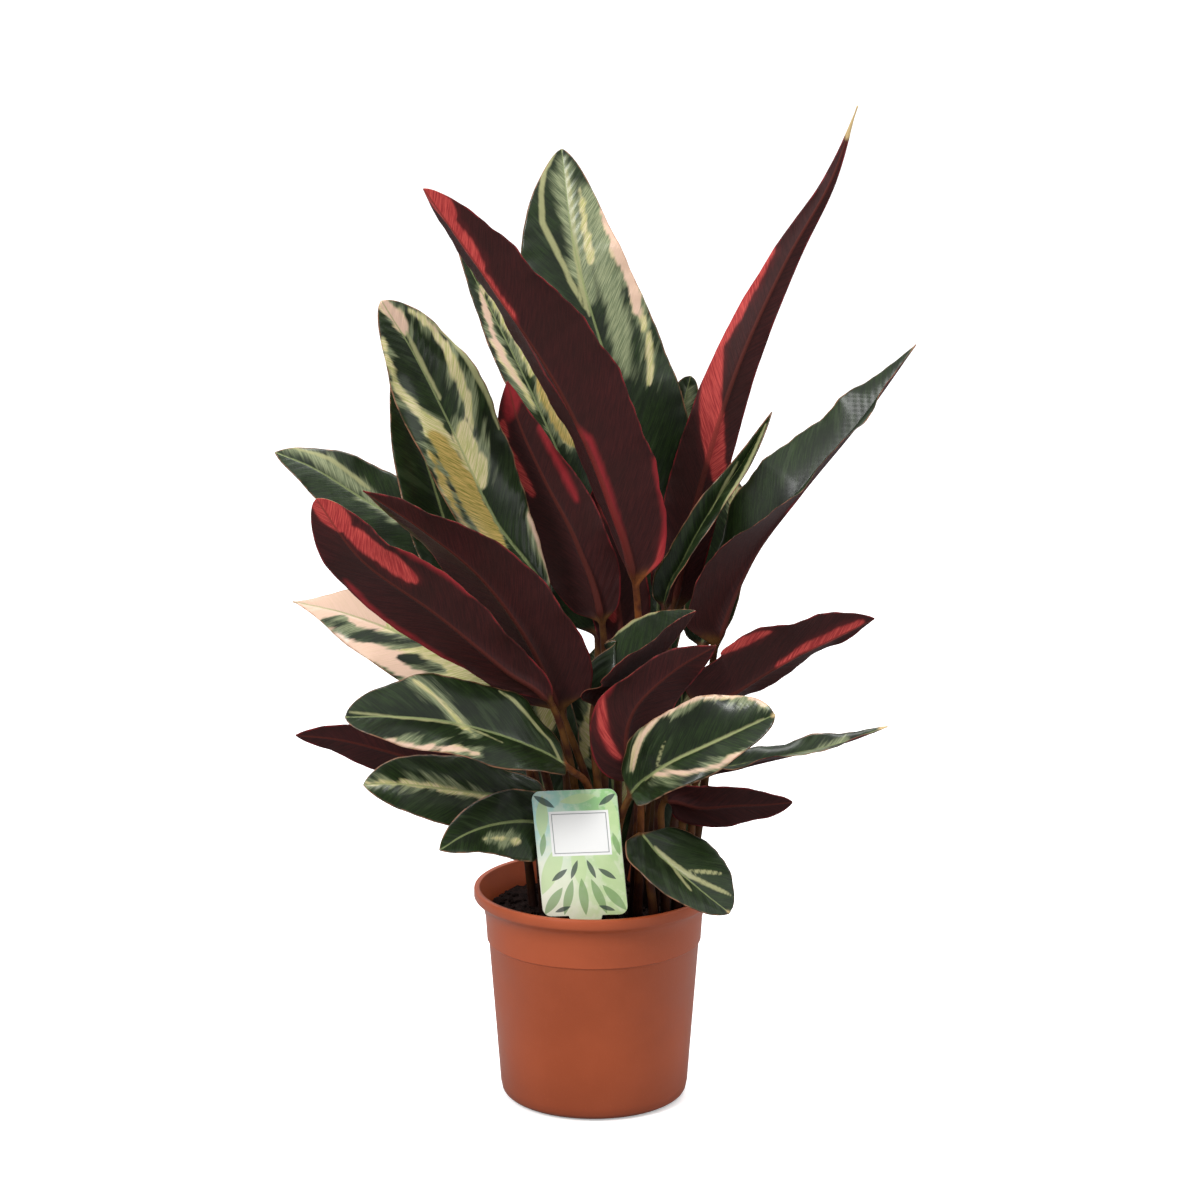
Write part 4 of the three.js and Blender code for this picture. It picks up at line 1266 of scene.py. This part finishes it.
def card_material():
    material, tree, surface = new_material("printed card")
    where = put(tree, "ShaderNodeAttribute", attribute_name="card").outputs["Vector"]
    x, y, depth = put(tree, "ShaderNodeSeparateXYZ", {0: where}).outputs
    wash = noisy(tree, where, 0.05, 2.0)
    high = ramp(tree, maths(tree, "MULTIPLY_ADD", wash, 30, y), 30, 85)
    side = ramp(tree, maths(tree, "MULTIPLY_ADD", wash, 20, x), -12, 26)
    top = mixed(tree, side, CARD_AQUA, CARD_GREEN)
    low = mixed(tree, side, CARD_PALE, CARD_LEAF)
    base = mixed(tree, high, low, top)
    base = mixed(tree, ramp(tree, noisy(tree, where, 0.16, 3.0), 0.45, 0.6, 0, 0.4), base, CARD_PALE)
    for tone, strength, stamps in CARD_STAMPS:
        for centre, turn, long, wide in stamps:
            mask = stamp(tree, where, centre, turn, long, wide)
            base = mixed(tree, maths(tree, "MULTIPLY", mask, strength), base, tone)
    bare, line = panel(tree, x, y, CARD_PANEL_AT, CARD_PANEL, 0.35)
    base = mixed(tree, bare, base, CARD_WHITE)
    base = mixed(tree, maths(tree, "MULTIPLY", maths(tree, "MULTIPLY", bare, line), 0.8), base, CARD_GREY)
    printed = ramp(tree, depth, 0.5 * TAG_THICK, 0.9 * TAG_THICK)
    base = mixed(tree, printed, CARD_WHITE, base)
    tree.links.new(base, surface.inputs["Base Color"])
    surface.inputs["Roughness"].default_value = 0.32
    bumped(tree, surface, noisy(tree, where, 1.5, 2.0), 0.05, 0.0002)
    return material


def stage_material():
    material, tree, surface = new_material("pale floor")
    seen = put(tree, "ShaderNodeLightPath").outputs["Is Camera Ray"]
    tree.links.new(mixed(tree, seen, FLOOR_SHADE, FLOOR_WHITE), surface.inputs["Base Color"])
    tree.links.new(mixed(tree, seen, (0, 0, 0, 1), FLOOR_WHITE), surface.inputs["Emission Color"])
    surface.inputs["Emission Strength"].default_value = FLOOR_GLOW
    surface.inputs["Roughness"].default_value = 0.9
    surface.inputs["Specular IOR Level"].default_value = 0.1
    return material


# Stage
def make_floor():
    mesh = bmesh.new()
    bmesh.ops.create_grid(mesh, x_segments=4, y_segments=4, size=30)
    bmesh.ops.translate(mesh, verts=mesh.verts, vec=(0, 0, -0.0005))
    data = bpy.data.meshes.new("floor")
    mesh.to_mesh(data)
    mesh.free()
    data.materials.append(stage_material())
    floor = bpy.data.objects.new("floor", data)
    bpy.context.collection.objects.link(floor)


def make_light(name, at, size, watts):
    data = bpy.data.lights.new(name, "AREA")
    data.shape = "RECTANGLE"
    data.size, data.size_y = size
    data.energy = watts
    light = bpy.data.objects.new(name, data)
    light.location = at
    light.rotation_euler = (LIGHT_AIM - Vector(at)).to_track_quat("-Z", "Y").to_euler()
    bpy.context.collection.objects.link(light)


def make_world():
    """A white studio, bright overhead and dim round the horizon."""
    world = bpy.data.worlds.new("studio")
    world.use_nodes = True
    tree = world.node_tree
    background = tree.nodes["Background"]
    background.inputs["Color"].default_value = (1, 1, 1, 1)
    direction = put(tree, "ShaderNodeTexCoord").outputs["Generated"]
    height = put(tree, "ShaderNodeSeparateXYZ", {0: direction}).outputs[2]
    strength = ramp(tree, height, 0.05, 0.75, SKY_LOW, SKY_HIGH)
    seen = put(tree, "ShaderNodeLightPath").outputs["Is Camera Ray"]
    tree.links.new(maths(tree, "MAXIMUM", strength, seen), background.inputs["Strength"])
    bpy.context.scene.world = world


def make_camera():
    data = bpy.data.cameras.new("camera")
    data.sensor_width = SENSOR
    data.lens = LENS
    camera = bpy.data.objects.new("camera", data)
    camera.location = Vector(CAMERA_AT) * MM
    camera.rotation_euler = (math.radians(90 - CAMERA_PITCH), 0, 0)
    bpy.context.collection.objects.link(camera)
    bpy.context.scene.camera = camera


make_camera()
make_world()
for light in LIGHTS:
    make_light(*light)
make_floor()
bpy.context.scene.view_settings.view_transform = "Standard"

make_pot(terracotta_material())
make_soil(soil_material())
make_tag(card_material())
leaf_finish = leaf_material(feathered_edge())
for number, name in enumerate(LEAVES, 1):
    make_leaf(name, number, leaf_finish)
